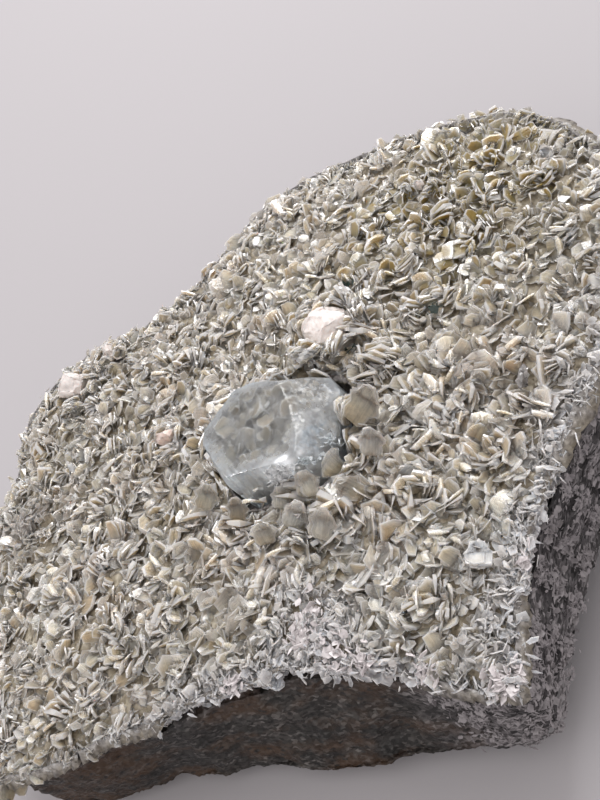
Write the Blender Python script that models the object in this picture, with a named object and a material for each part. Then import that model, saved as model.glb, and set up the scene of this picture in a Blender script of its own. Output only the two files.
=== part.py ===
"""Solid model of an aquamarine crystal on its matrix, in metres with +Z up.

A broken slab of granite carries an intergrown crust of mica.  One short, thick aquamarine crystal and
several smaller feldspar and quartz crystals grow through the crust, each standing in its own pocket.
The slab rests on the flat patch of its underside, and the origin is under the middle of the object.
"""
import math
import random

import bmesh
import bpy
import numpy as np
from mathutils import Matrix, Vector, noise

MM = 0.001
COLLECTION = "aquamarine_crystal_specimen"

# The slab, seen from above, as (x, y) corners in mm, anticlockwise from the right-hand end.
OUTLINE_MM = [
    (68, 3), (66, 12), (59, 23), (50, 33), (40, 42), (33, 46), (18, 46), (6, 48), (-1, 50), (-8, 55),
    (-16, 58.2), (-23, 58.2), (-30, 56), (-35, 49), (-43, 45.5), (-50.5, 39), (-58.5, 28), (-64.5, 14.5), (-68, 4),
    (-64, -1), (-46, -12), (-32, -20), (-20, -28), (-13, -36), (-8, -44), (-4, -52), (-1.5, -57), (1, -57),
    (4.5, -53), (9, -48), (16.5, -43.5), (25, -39.5), (38, -35), (51, -29), (61, -21), (66, -10),
]
SEGMENTS = 72                 # steps round the outline
CREST = 25.0 * MM             # crust surface at the middle, over the resting face
DOME_DROP = 2.2 * MM          # how far the crust surface falls from the middle to the rim
HUMP_AT = (-17 * MM, 47 * MM)  # the swelling near the back edge
HUMP_RISE = 2.6 * MM
HUMP_SPREAD = 12 * MM
CRUST_MIDDLE = 6.0 * MM       # crust thickness at the middle
CRUST_RIM = 3.6 * MM          # crust thickness at the rim
CRUST_ROUGH = 0.5 * MM        # unevenness of the crust surface
CRUST_ROUGH_SPAN = 11 * MM
GAP = 0.3 * MM                # room between neighbouring pieces
TOP_RINGS = 12                # rings of the crust surface
SEAT_RINGS = 7                # rings of the rock's upper face, and of the crust's underside

# The rock's broken sides.
FOOT_SPAN = 0.84              # the flat resting patch, as a share of the outline
FOOT_RINGS = 3
SIDE_RINGS = 6
SIDE_START = 2.4 * MM         # height where the sides begin, over the resting face
TOE_START = 4.0 * MM          # the same at the front corner, where the underside is chipped up
TOE_SPAN = 0.66               # the resting patch at the front corner
TOE_ANGLE = math.radians(-80)
TOE_WIDTH = math.radians(22)
FLARE = 8.6 * MM              # how far the front-left side swells out towards its foot
FLARE_ANGLE = math.radians(-122)
FLARE_WIDTH = math.radians(27)
TUCK = 1.0 * MM               # how far the other sides draw in towards their foot
CHIP = 8.5 * MM               # how far the front corner is chipped back at its foot
CHIP_ANGLE = math.radians(-88.5)
CHIP_WIDTH = math.radians(3.4)
SIDE_ROUGH = 1.7 * MM
SIDE_ROUGH_SPAN = 13 * MM

# The aquamarine: a short prism, with its corners as (x, y) in mm at three levels.
AQUA_FOOT_MM = [
    (-7.3, -5.4), (-7.0, 0.6), (-6.4, 5.0), (-4.6, 7.6), (4.6, 8.6), (8.4, 6.2), (13.0, 1.6), (15.2, -2.4),
    (14.6, -6.0), (8.8, -11.8), (5.6, -13.6), (2.0, -12.9), (-2.0, -8.6),
]
AQUA_FACE_MM = [
    (-6.2, -4.6), (-5.7, 0.4), (-5.1, 4.2), (-3.5, 6.2), (4.0, 7.0), (6.6, 5.0), (9.6, 0.6), (7.9, -5.0),
    (5.0, -10.6), (3.6, -12.2), (1.4, -11.8), (-1.6, -7.8),
]
AQUA_SHOULDER = 4.6 * MM      # height of the steep sides over the crust
AQUA_RISE = 5.7 * MM          # height of the end face over the crust
AQUA_DEPTH = 4.4 * MM         # depth in the crust
AQUA_BEVEL = 0.7 * MM         # width of the slope between sides and end face

# The smaller crystals: name, place, size and turn, the height of the middle over the crust, and corners.
LUMPS = [
    ("feldspar_large", (20.2, 5.6), (11.8, 10.4, 8.2), -35, 0.6, 30),
    ("feldspar_back_left", (-15.0, 46.4), (8.2, 8.4, 7.6), 20, 0.8, 26),
    ("feldspar_back_right", (-6.4, 46.4), (5.6, 6.2, 6.4), -15, 0.6, 22),
    ("feldspar_pink", (-9.4, 18.2), (6.8, 5.0, 5.8), -40, 0.4, 20),
    ("feldspar_wedge", (-2.9, -16.4), (3.8, 3.0, 5.4), 12, 0.9, 12),
    ("feldspar_far", (47.2, 12.3), (4.0, 4.4, 4.6), 25, 0.6, 16),
    ("quartz_grey", (30.4, -28.8), (5.6, 3.8, 4.6), 38, 0.4, 18),
]

# Colours are linear red, green and blue, with a roughness.
FINISHES = {
    "matrix_rock": ((0.13, 0.11, 0.10), 0.85),
    "mica_crust": ((0.42, 0.37, 0.29), 0.35),
    "aquamarine_crystal": ((0.52, 0.66, 0.68), 0.12),
    "feldspar": ((0.68, 0.62, 0.60), 0.45),
    "quartz_grey": ((0.42, 0.43, 0.44), 0.25),
}


def clear_scene():
    """Remove every object that the scene already holds."""
    for old in list(bpy.data.objects):
        bpy.data.objects.remove(old, do_unlink=True)


def new_collection(name):
    """Add a collection to the scene."""
    collection = bpy.data.collections.new(name)
    bpy.context.scene.collection.children.link(collection)
    return collection


def finish_for(name):
    """Make the material of one piece, from its own finish or from its kind's."""
    colour, roughness = FINISHES.get(name) or FINISHES[name.split("_")[0]]
    material = bpy.data.materials.new(name)
    material.use_nodes = True
    shader = material.node_tree.nodes["Principled BSDF"]
    shader.inputs["Base Color"].default_value = (*colour, 1.0)
    shader.inputs["Roughness"].default_value = roughness
    shader.inputs["Metallic"].default_value = 0.0
    if name == "aquamarine_crystal":
        shader.inputs["Transmission Weight"].default_value = 1.0
        shader.inputs["IOR"].default_value = 1.577
    return material


def add_object(mesh_data, name, collection):
    """Turn a bmesh into an object in a collection, with flat faces."""
    mesh = bpy.data.meshes.new(name)
    mesh_data.to_mesh(mesh)
    mesh_data.free()
    piece = bpy.data.objects.new(name, mesh)
    collection.objects.link(piece)
    return piece


def bump(angle, centre, width):
    """A smooth hill of height 1 round an angle, which has died out at about twice its width."""
    apart = (angle - centre + math.pi) % (2 * math.pi) - math.pi
    return math.exp(-0.5 * (apart / width) ** 2)


def outline_radius(angle):
    """Distance from the middle to the slab's outline at an angle."""
    corners = np.array(OUTLINE_MM) * MM
    angles = np.arctan2(corners[:, 1], corners[:, 0])
    reach = np.hypot(corners[:, 0], corners[:, 1])
    return float(np.interp(angle, angles, reach, period=2 * math.pi))


def dome_height(angle, share):
    """Height of the crust's even surface at a share of the way from the middle to the rim."""
    x = math.cos(angle) * share * outline_radius(angle)
    y = math.sin(angle) * share * outline_radius(angle)
    away = math.hypot(x - HUMP_AT[0], y - HUMP_AT[1]) / HUMP_SPREAD
    return CREST - DOME_DROP * share ** 2 + HUMP_RISE * math.exp(-0.5 * away ** 2)


def seat_height(angle, share):
    """Height of the rock's upper face, under the crust."""
    return dome_height(angle, share) - CRUST_MIDDLE + (CRUST_MIDDLE - CRUST_RIM) * share ** 2


def crust_height(x, y):
    """Height of the crust's even surface over a point."""
    angle = math.atan2(y, x)
    return dome_height(angle, math.hypot(x, y) / outline_radius(angle))


def at(angle, radius, height):
    """The point at an angle, a radius and a height."""
    return Vector((math.cos(angle) * radius, math.sin(angle) * radius, height))


def rock_ring(level, angle):
    """Point of the rock on one ring, counted from the middle of the underside to the middle of the top."""
    radius = outline_radius(angle)
    toe = bump(angle, TOE_ANGLE, TOE_WIDTH)
    foot_span = FOOT_SPAN + (TOE_SPAN - FOOT_SPAN) * toe
    if level <= FOOT_RINGS:
        return at(angle, radius * foot_span * level / FOOT_RINGS, 0.0)
    if level <= FOOT_RINGS + SIDE_RINGS:
        climb = (level - FOOT_RINGS - 1) / (SIDE_RINGS - 1)
        return rock_side(angle, radius, toe, climb)
    share = 1.0 - (level - FOOT_RINGS - SIDE_RINGS) / SEAT_RINGS
    return at(angle, radius * share, seat_height(angle, share))


def rock_side(angle, radius, toe, climb):
    """Point of the rock's side, at a share of the climb from its foot to its rim."""
    start = SIDE_START + (TOE_START - SIDE_START) * toe
    height = start + (seat_height(angle, 1.0) - start) * climb
    swell = bump(angle, FLARE_ANGLE, FLARE_WIDTH)
    chip = CHIP * bump(angle, CHIP_ANGLE, CHIP_WIDTH)
    out = (FLARE * swell - TUCK * (1.0 - swell) - chip) * (1.0 - climb)
    spot = at(angle, radius, height) / SIDE_ROUGH_SPAN
    rough = noise.noise(spot) + 0.5 * noise.noise(spot * 2.7)
    fade = min(1.0, 4.0 * (1.0 - climb))
    return at(angle, radius + out + SIDE_ROUGH * rough * fade, height)


def crust_ring(level, angle):
    """Point of the crust on one ring, counted from the middle of the underside to the middle of the top."""
    radius = outline_radius(angle)
    if level <= SEAT_RINGS:
        share = level / SEAT_RINGS
        return at(angle, radius * share, seat_height(angle, share) + GAP)
    share = 1.0 - (level - SEAT_RINGS - 1) / TOP_RINGS
    point = at(angle, radius * share, dome_height(angle, share))
    rim = max(0.0, (share - 0.86) / 0.14)
    point.z += CRUST_ROUGH * noise.noise(point / CRUST_ROUGH_SPAN) - 1.3 * MM * rim ** 2
    return point


def slab(name, rings, place, collection):
    """Shape a sphere into a slab: its rings run from the middle of the underside to the middle of the top."""
    shape = bmesh.new()
    bmesh.ops.create_uvsphere(shape, u_segments=SEGMENTS, v_segments=rings, radius=1.0)
    for vert in shape.verts:
        level = round((1.0 - math.acos(max(-1.0, min(1.0, vert.co.z))) / math.pi) * rings)
        vert.co = place(level, math.atan2(vert.co.y, vert.co.x))
    bmesh.ops.triangulate(shape, faces=shape.faces[:], quad_method="SHORT_EDGE")
    bmesh.ops.recalc_face_normals(shape, faces=shape.faces[:])
    return add_object(shape, name, collection)


def hull(name, points, collection):
    """Wrap points in a closed crystal of flat faces."""
    shape = bmesh.new()
    for point in points:
        shape.verts.new(point)
    wrapped = bmesh.ops.convex_hull(shape, input=shape.verts[:], use_existing_faces=False)
    inside = [item for item in wrapped["geom_interior"] if isinstance(item, bmesh.types.BMVert)]
    bmesh.ops.delete(shape, geom=inside, context="VERTS")
    bmesh.ops.recalc_face_normals(shape, faces=shape.faces[:])
    return add_object(shape, name, collection)


def spread(corners_mm, extra):
    """Move corners outwards from their middle."""
    middle = sum((Vector(corner) for corner in corners_mm), Vector((0, 0))) / len(corners_mm)
    for corner in corners_mm:
        away = Vector(corner) - middle
        yield (middle + away * (1.0 + extra / (away.length * MM))) * MM


def aquamarine_points(room=0.0):
    """Corners of the aquamarine, with room added all round for its pocket."""
    ground = crust_height(4 * MM, -2 * MM)
    points = []
    for x, y in spread(AQUA_FOOT_MM, room):
        points.append((x, y, ground - AQUA_DEPTH - room))
        points.append((x, y, ground + 0.6 * MM))
    for x, y in spread(AQUA_FACE_MM, AQUA_BEVEL + room):
        points.append((x, y, ground + AQUA_SHOULDER))
    for x, y in spread(AQUA_FACE_MM, room):
        points.append((x, y, ground + AQUA_RISE + room))
    return points


def lump_points(lump, room=0.0):
    """Corners of one small crystal, spread evenly over an egg and jittered, with room added for its pocket."""
    name, place, size, turn, rise, corners = lump
    rng = random.Random(name)
    middle = Vector((place[0] * MM, place[1] * MM, 0.0))
    middle.z = crust_height(middle.x, middle.y) + rise * MM
    half = Vector(size) * MM / 2 + Vector((room, room, room)) * 1.4
    spin = Matrix.Rotation(math.radians(turn), 3, "Z")
    points = []
    for step in range(corners):
        z = 1.0 - (2 * step + 1) / corners
        angle = step * math.pi * (3 - math.sqrt(5)) + rng.uniform(-0.35, 0.35)
        ring = math.sqrt(1.0 - z * z)
        reach = rng.uniform(0.9, 1.0)
        egg = Vector((ring * math.cos(angle) * half.x, ring * math.sin(angle) * half.y, z * half.z))
        points.append(middle + spin @ egg * reach)
    return points


def cut_pocket(piece, name, points, cutters):
    """Cut a crystal's pocket into a piece."""
    cutter = hull(name, points, cutters)
    cutter.hide_render = True
    cutter.display_type = "WIRE"
    cut = piece.modifiers.new(name, "BOOLEAN")
    cut.operation = "DIFFERENCE"
    cut.solver = "EXACT"
    cut.object = cutter


def centre_over_origin(pieces, followers):
    """Move everything so that the origin is under the middle of the pieces' box."""
    corners = [vert.co for piece in pieces for vert in piece.data.vertices]
    middle = Vector(((min(c.x for c in corners) + max(c.x for c in corners)) / 2,
                     (min(c.y for c in corners) + max(c.y for c in corners)) / 2, 0.0))
    for piece in list(pieces) + list(followers):
        piece.data.transform(Matrix.Translation(-middle))


def main():
    """Build every piece of the specimen."""
    clear_scene()
    parts = new_collection(COLLECTION)
    cutters = new_collection("pocket_cutters")
    slab("matrix_rock", FOOT_RINGS + SIDE_RINGS + SEAT_RINGS, rock_ring, parts)
    crust = slab("mica_crust", SEAT_RINGS + 1 + TOP_RINGS, crust_ring, parts)
    hull("aquamarine_crystal", aquamarine_points(), parts)
    cut_pocket(crust, "aquamarine_pocket", aquamarine_points(GAP), cutters)
    for lump in LUMPS:
        hull(lump[0], lump_points(lump), parts)
        cut_pocket(crust, lump[0] + "_pocket", lump_points(lump, GAP), cutters)
    for piece in parts.objects:
        piece.data.materials.append(finish_for(piece.name))
    centre_over_origin(parts.objects, cutters.objects)


main()
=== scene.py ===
"""Looks of an aquamarine crystal on a slab of mica and granite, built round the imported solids.

The slab lies mica side up on a pale floor.  Lengths are in metres, +Z is up, and every piece sits in the
frame of the solids.  Each sub-assembly is a class that holds its own sizes; each finish is a small frozen
class that makes one procedural material.
"""
import logging
import math
from dataclasses import dataclass, field
from enum import Enum
from typing import Any, Callable, Iterable, Sequence

import bmesh
import bpy
import numpy as np
from mathutils import Matrix, Vector, noise
from mathutils.bvhtree import BVHTree


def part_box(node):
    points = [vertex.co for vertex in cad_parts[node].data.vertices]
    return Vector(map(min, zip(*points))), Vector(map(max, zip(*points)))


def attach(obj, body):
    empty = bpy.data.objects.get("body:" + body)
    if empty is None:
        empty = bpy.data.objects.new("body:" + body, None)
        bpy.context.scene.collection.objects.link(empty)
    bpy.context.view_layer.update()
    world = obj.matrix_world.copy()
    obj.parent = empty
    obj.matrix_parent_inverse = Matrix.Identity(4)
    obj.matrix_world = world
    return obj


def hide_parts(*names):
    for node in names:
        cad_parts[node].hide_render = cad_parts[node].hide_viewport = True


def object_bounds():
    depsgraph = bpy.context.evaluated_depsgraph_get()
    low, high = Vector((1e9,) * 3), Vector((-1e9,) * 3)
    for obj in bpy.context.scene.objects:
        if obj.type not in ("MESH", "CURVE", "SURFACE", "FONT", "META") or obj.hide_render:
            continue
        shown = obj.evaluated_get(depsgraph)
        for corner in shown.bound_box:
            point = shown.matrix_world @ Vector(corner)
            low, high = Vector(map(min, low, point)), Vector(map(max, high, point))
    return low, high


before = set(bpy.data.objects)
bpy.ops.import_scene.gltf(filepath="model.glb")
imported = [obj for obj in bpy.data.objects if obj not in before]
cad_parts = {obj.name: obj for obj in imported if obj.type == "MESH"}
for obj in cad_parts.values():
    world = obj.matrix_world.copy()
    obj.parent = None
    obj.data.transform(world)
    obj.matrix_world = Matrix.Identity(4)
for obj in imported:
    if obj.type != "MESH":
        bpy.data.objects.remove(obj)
CAD_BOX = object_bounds()
UP = Vector((0.0, 0.0, 1.0))
BEHIND = Vector((0.35, 0.94, 0.0))  # away from the camera, along the floor
FRONT = Vector((0.0, -0.743, 0.669))  # towards the camera
RISE = Vector((0.760, 0.434, 0.482))  # upwards as the camera sees it

LOG = logging.getLogger("aquamarine")
MM = 0.001
ROUND = 6.3  # a full turn, for drawing any direction
BODY = "root"


class Lump(Enum):
    """The small crystals that grow through the mica, by node."""

    LARGE = "feldspar_large"
    BACK_LEFT = "feldspar_back_left"
    BACK_RIGHT = "feldspar_back_right"
    PINK = "feldspar_pink"
    WEDGE = "feldspar_wedge"
    FAR = "feldspar_far"
    QUARTZ = "quartz_grey"


class BladeKind(Enum):
    """The shapes that a mica blade can have."""

    PLATE = "plate"
    CUPPED = "cupped"
    SHARD = "shard"
    DISC = "disc"


class Relief(Enum):
    """The ways in which a broken or grown surface is uneven."""

    LUMPY = "lumpy"
    GRAINY = "grainy"
    STEPPED = "stepped"


# ---------------------------------------------------------------------------------------------- helpers


def linear(colour: str) -> tuple[float, float, float, float]:
    """Turn an sRGB hex colour into linear red, green, blue and alpha.

    Args:
        colour: six hex digits after a hash.

    Returns:
        The linear colour, with an alpha of one.
    """
    values = [int(colour[start:start + 2], 16) / 255.0 for start in (1, 3, 5)]
    red, green, blue = (v / 12.92 if v <= 0.04045 else ((v + 0.055) / 1.055) ** 2.4 for v in values)
    return (red, green, blue, 1.0)


def feed(tree: bpy.types.NodeTree, node: bpy.types.Node, inputs: dict[Any, Any]) -> None:
    """Give a node's inputs their values and links.

    Args:
        tree: the node tree.
        node: the node to feed.
        inputs: a value, a hex colour or an output socket for each input, by name or number.
    """
    for key, value in inputs.items():
        if isinstance(value, bpy.types.NodeSocket):
            tree.links.new(value, node.inputs[key])
        else:
            node.inputs[key].default_value = linear(value) if isinstance(value, str) else value


def add_node(tree: bpy.types.NodeTree, kind: str, inputs: dict[Any, Any] | None = None,
             **settings: Any) -> bpy.types.Node:
    """Add a node, with its settings, its input values and its links.

    Args:
        tree: the node tree to add to.
        kind: the node's type name after "ShaderNode".
        inputs: a value, a hex colour or an output socket for each input, by name or number.
        **settings: the node's own attributes.

    Returns:
        The new node.
    """
    made = tree.nodes.new("ShaderNode" + kind)
    for name, value in settings.items():
        setattr(made, name, value)
    feed(tree, made, inputs or {})
    return made


def deselect_all() -> None:
    """Leave edit mode and deselect every object, because operators act on all that is selected."""
    if bpy.context.mode != "OBJECT":
        bpy.ops.object.mode_set(mode="OBJECT")
    bpy.ops.object.select_all(action="DESELECT")


def make_active(piece: bpy.types.Object) -> None:
    """Select one object alone and make it the active one."""
    deselect_all()
    piece.select_set(True)
    bpy.context.view_layer.objects.active = piece


def select_faces(piece: bpy.types.Object, wanted: Callable[[bpy.types.MeshPolygon], bool]) -> None:
    """Go into edit mode with only some faces selected.

    Args:
        piece: the mesh object.
        wanted: says whether a face is to be selected.
    """
    make_active(piece)
    mesh = piece.data
    for part in (mesh.vertices, mesh.edges):
        part.foreach_set("select", [False] * len(part))
    for face in mesh.polygons:
        face.select = wanted(face)
    bpy.ops.object.mode_set(mode="EDIT")
    bpy.ops.mesh.select_mode(type="FACE")


def apply_modifier(piece: bpy.types.Object, kind: str, **settings: Any) -> None:
    """Add a modifier and apply it at once.

    Args:
        piece: the mesh object.
        kind: the modifier's type.
        **settings: the modifier's own attributes.
    """
    make_active(piece)
    modifier = piece.modifiers.new(kind.lower(), kind)
    for name, value in settings.items():
        setattr(modifier, name, value)
    bpy.ops.object.modifier_apply(modifier=modifier.name)


def add_object(name: str, data: bpy.types.ID) -> bpy.types.Object:
    """Put a new object into the scene.

    Args:
        name: its name.
        data: its mesh, light or camera.

    Returns:
        The new object, at the origin.
    """
    made = bpy.data.objects.new(name, data)
    bpy.context.scene.collection.objects.link(made)
    return made


def heading(angle: float) -> Vector:
    """The level direction at an angle round +Z, in radians."""
    return Vector((math.cos(angle), math.sin(angle), 0.0))


def cad_copy(node: str, name: str) -> bpy.types.Object:
    """Copy a CAD node as a clean mesh, with its loose triangles merged.

    Args:
        node: the CAD node's name.
        name: the new object's name.

    Returns:
        The new object, at the origin.
    """
    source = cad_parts[node]
    mesh = bpy.data.meshes.new(name)
    shape = bmesh.new()
    shape.from_mesh(source.data)
    bmesh.ops.remove_doubles(shape, verts=shape.verts[:], dist=0.002 * MM)
    shape.to_mesh(mesh)
    shape.free()
    for attribute in list(mesh.color_attributes):
        mesh.color_attributes.remove(attribute)
    return add_object(name, mesh)


def dress(piece: bpy.types.Object, material: bpy.types.Material) -> None:
    """Give a piece one material."""
    piece.data.materials.clear()
    piece.data.materials.append(material)


def settle(piece: bpy.types.Object, slot: str, nodes: Iterable[str] = ()) -> None:
    """Let a finished piece ride on the body, and say what it stands for.

    Args:
        piece: the finished piece.
        slot: its material slot, which is only logged.
        nodes: the CAD nodes that the piece replaces.
    """
    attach(piece, BODY)
    for node in nodes:
        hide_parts(node)
    LOG.info("%s: %d faces, slot %s", piece.name, len(piece.data.polygons), slot)


@dataclass(frozen=True)
class ReliefLayer:
    """One layer of unevenness.

    Attributes:
        kind: its shape.
        width: its width in metres.
        depth: how far it sinks the surface at most.
    """

    kind: Relief
    width: float
    depth: float

    def sink(self, point: Vector) -> float:
        """How far the layer sinks the surface at a point."""
        spot = point / self.width
        if self.kind is Relief.GRAINY:
            return self.depth * min(1.0, 1.3 * noise.voronoi(spot)[0][0])
        wave = 0.5 + 0.5 * noise.noise(spot)
        if self.kind is Relief.STEPPED:
            steps = 5.0 * wave
            wave = (math.floor(steps) + min(1.0, 4.0 * (steps % 1.0))) / 5.0
        return self.depth * wave


def read_points(piece: bpy.types.Object) -> tuple[np.ndarray, np.ndarray]:
    """Read a mesh's points and their normals.

    Args:
        piece: the mesh object.

    Returns:
        The points and the normals, one row each.
    """
    mesh = piece.data
    points, normals = np.empty(len(mesh.vertices) * 3), np.empty(len(mesh.vertices) * 3)
    mesh.vertices.foreach_get("co", points)
    mesh.vertex_normals.foreach_get("vector", normals)
    return points.reshape(-1, 3), normals.reshape(-1, 3)


def write_points(piece: bpy.types.Object, points: np.ndarray) -> None:
    """Move a mesh's points."""
    piece.data.vertices.foreach_set("co", points.ravel())
    piece.data.update()


def mark(piece: bpy.types.Object, label: str, values: Sequence[float]) -> None:
    """Store one number for each point of a mesh, for its material to read."""
    attribute = piece.data.attributes.new(label, "FLOAT", "POINT")
    attribute.data.foreach_set("value", np.array(values, dtype=np.float32))


def roughen(piece: bpy.types.Object, layers: Sequence[ReliefLayer], floor: float = -1.0) -> None:
    """Sink a fine mesh unevenly below its own surface.

    Args:
        piece: the mesh object, finely divided.
        layers: the unevenness, all layers added.
        floor: height under which nothing is moved, for a face that the piece rests on.
    """
    points, normals = read_points(piece)
    sinks = np.array([sum(layer.sink(Vector(point)) for layer in layers) if point[2] > floor else 0.0
                      for point in points])
    write_points(piece, points - normals * sinks[:, None])


def refined(node: str, name: str, voxel: float) -> bpy.types.Object:
    """Copy a CAD node as a fine, even mesh with smooth shading.

    Args:
        node: the CAD node's name.
        name: the new object's name.
        voxel: the size of its faces.

    Returns:
        The new object.
    """
    piece = cad_copy(node, name)
    apply_modifier(piece, "REMESH", mode="VOXEL", voxel_size=voxel, use_smooth_shade=True)
    return piece


def mixed(tree: bpy.types.NodeTree, factor: Any, below: Any, above: Any) -> bpy.types.NodeSocket:
    """Mix two colours, the factor being the share of the upper one."""
    return add_node(tree, "Mix", {0: factor, 6: below, 7: above}, data_type="RGBA").outputs[2]


def scaled(tree: bpy.types.NodeTree, colour: Any, factor: Any) -> bpy.types.NodeSocket:
    """Multiply a colour or a vector by a number."""
    return add_node(tree, "VectorMath", {0: colour, "Scale": factor}, operation="SCALE").outputs[0]


def worked_out(tree: bpy.types.NodeTree, operation: str, *values: Any,
               clamp: bool = False) -> bpy.types.NodeSocket:
    """Calculate with numbers and sockets; a clamped result stays from 0 to 1."""
    return add_node(tree, "Math", dict(enumerate(values)), operation=operation, use_clamp=clamp).outputs[0]


def placed(tree: bpy.types.NodeTree) -> bpy.types.NodeSocket:
    """The coordinates in the piece's own frame, in metres."""
    return add_node(tree, "TexCoord").outputs["Object"]


def marked(tree: bpy.types.NodeTree, label: str) -> bpy.types.NodeSocket:
    """The numbers that a mesh stores for each of its points under a label."""
    return add_node(tree, "Attribute", attribute_name=label).outputs["Fac"]


def bumped(tree: bpy.types.NodeTree, height: bpy.types.NodeSocket, strength: float, depth_mm: float,
           **below: bpy.types.NodeSocket) -> bpy.types.NodeSocket:
    """Tilt the normal as a pattern's slopes would, over the normal given as Normal, if any."""
    return add_node(tree, "Bump", {"Height": height, "Strength": strength, "Distance": depth_mm * MM,
                                   **below}).outputs["Normal"]


def ramped(tree: bpy.types.NodeTree, value: bpy.types.NodeSocket,
           *stops: tuple[float, str]) -> bpy.types.NodeSocket:
    """Colour a pattern by its values.

    Args:
        tree: the node tree.
        value: the pattern.
        *stops: the values and hex colours of the ramp, upwards.

    Returns:
        The colour's socket.
    """
    made = add_node(tree, "ValToRGB", {"Fac": value})
    ramp = made.color_ramp.elements
    while len(ramp) < len(stops):
        ramp.new(1.0)
    for element, (position, colour) in zip(ramp, stops):
        element.position = position
        element.color = linear(colour)
    return made.outputs["Color"]


def banded(tree: bpy.types.NodeTree, value: bpy.types.NodeSocket, low: float, high: float,
           least: float = 0.0, most: float = 1.0) -> bpy.types.NodeSocket:
    """Spread a band of a pattern's values over a range.

    Args:
        tree: the node tree.
        value: the pattern.
        low: the value that gives the least.
        high: the value that gives the most.
        least: the result at the low end.
        most: the result at the high end.

    Returns:
        The result's socket.
    """
    return add_node(tree, "MapRange", {"Value": value, "From Min": low, "From Max": high,
                                       "To Min": least, "To Max": most}).outputs[0]


def cloudy(tree: bpy.types.NodeTree, place: bpy.types.NodeSocket, width_mm: float,
           detail: float = 3.0, roughness: float = 0.6) -> bpy.types.NodeSocket:
    """A cloudy pattern whose patches have a real width.

    Args:
        tree: the node tree.
        place: the coordinates it follows.
        width_mm: the patches' width in mm.
        detail: how many finer layers it holds.
        roughness: how much each finer layer counts.

    Returns:
        The pattern's socket, mostly from 0.3 to 0.7.
    """
    return add_node(tree, "TexNoise", {"Vector": place, "Scale": 1.0 / (width_mm * MM), "Detail": detail,
                                       "Roughness": roughness}).outputs["Fac"]


def glittering(tree: bpy.types.NodeTree, place: bpy.types.NodeSocket, cell_mm: float,
               spread: float) -> bpy.types.NodeSocket:
    """Tilt the normal differently in each small grain, so that single grains catch the light.

    Args:
        tree: the node tree.
        place: the coordinates it follows.
        cell_mm: the grains' width in mm.
        spread: how far the grains tilt.

    Returns:
        The tilted normal's socket.
    """
    cells = add_node(tree, "TexVoronoi", {"Vector": place, "Scale": 1.0 / (cell_mm * MM)})
    centred = add_node(tree, "VectorMath", {0: cells.outputs["Color"], 1: (0.5, 0.5, 0.5)},
                       operation="SUBTRACT")
    tilt = scaled(tree, centred.outputs[0], spread)
    normal = add_node(tree, "NewGeometry").outputs["Normal"]
    tilted = add_node(tree, "VectorMath", {0: normal, 1: tilt}, operation="ADD")
    return add_node(tree, "VectorMath", {0: tilted.outputs[0]}, operation="NORMALIZE").outputs[0]


# --------------------------------------------------------------------------------------------- finishes


@dataclass(frozen=True)
class Finish:
    """One procedural material.

    Attributes:
        name: the material's name.
    """

    name: str

    def material(self) -> bpy.types.Material:
        """Make the material.

        Returns:
            A material whose surface shader is fed with the finish's looks.
        """
        material = bpy.data.materials.new(self.name)
        material.use_nodes = True
        tree = material.node_tree
        feed(tree, tree.nodes["Principled BSDF"], self.looks(tree))
        return material

    def looks(self, tree: bpy.types.NodeTree) -> dict[str, Any]:
        """Add the finish's patterns to a node tree.

        Args:
            tree: the material's node tree.

        Returns:
            What the surface shader's inputs get, by name.
        """
        raise NotImplementedError


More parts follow.
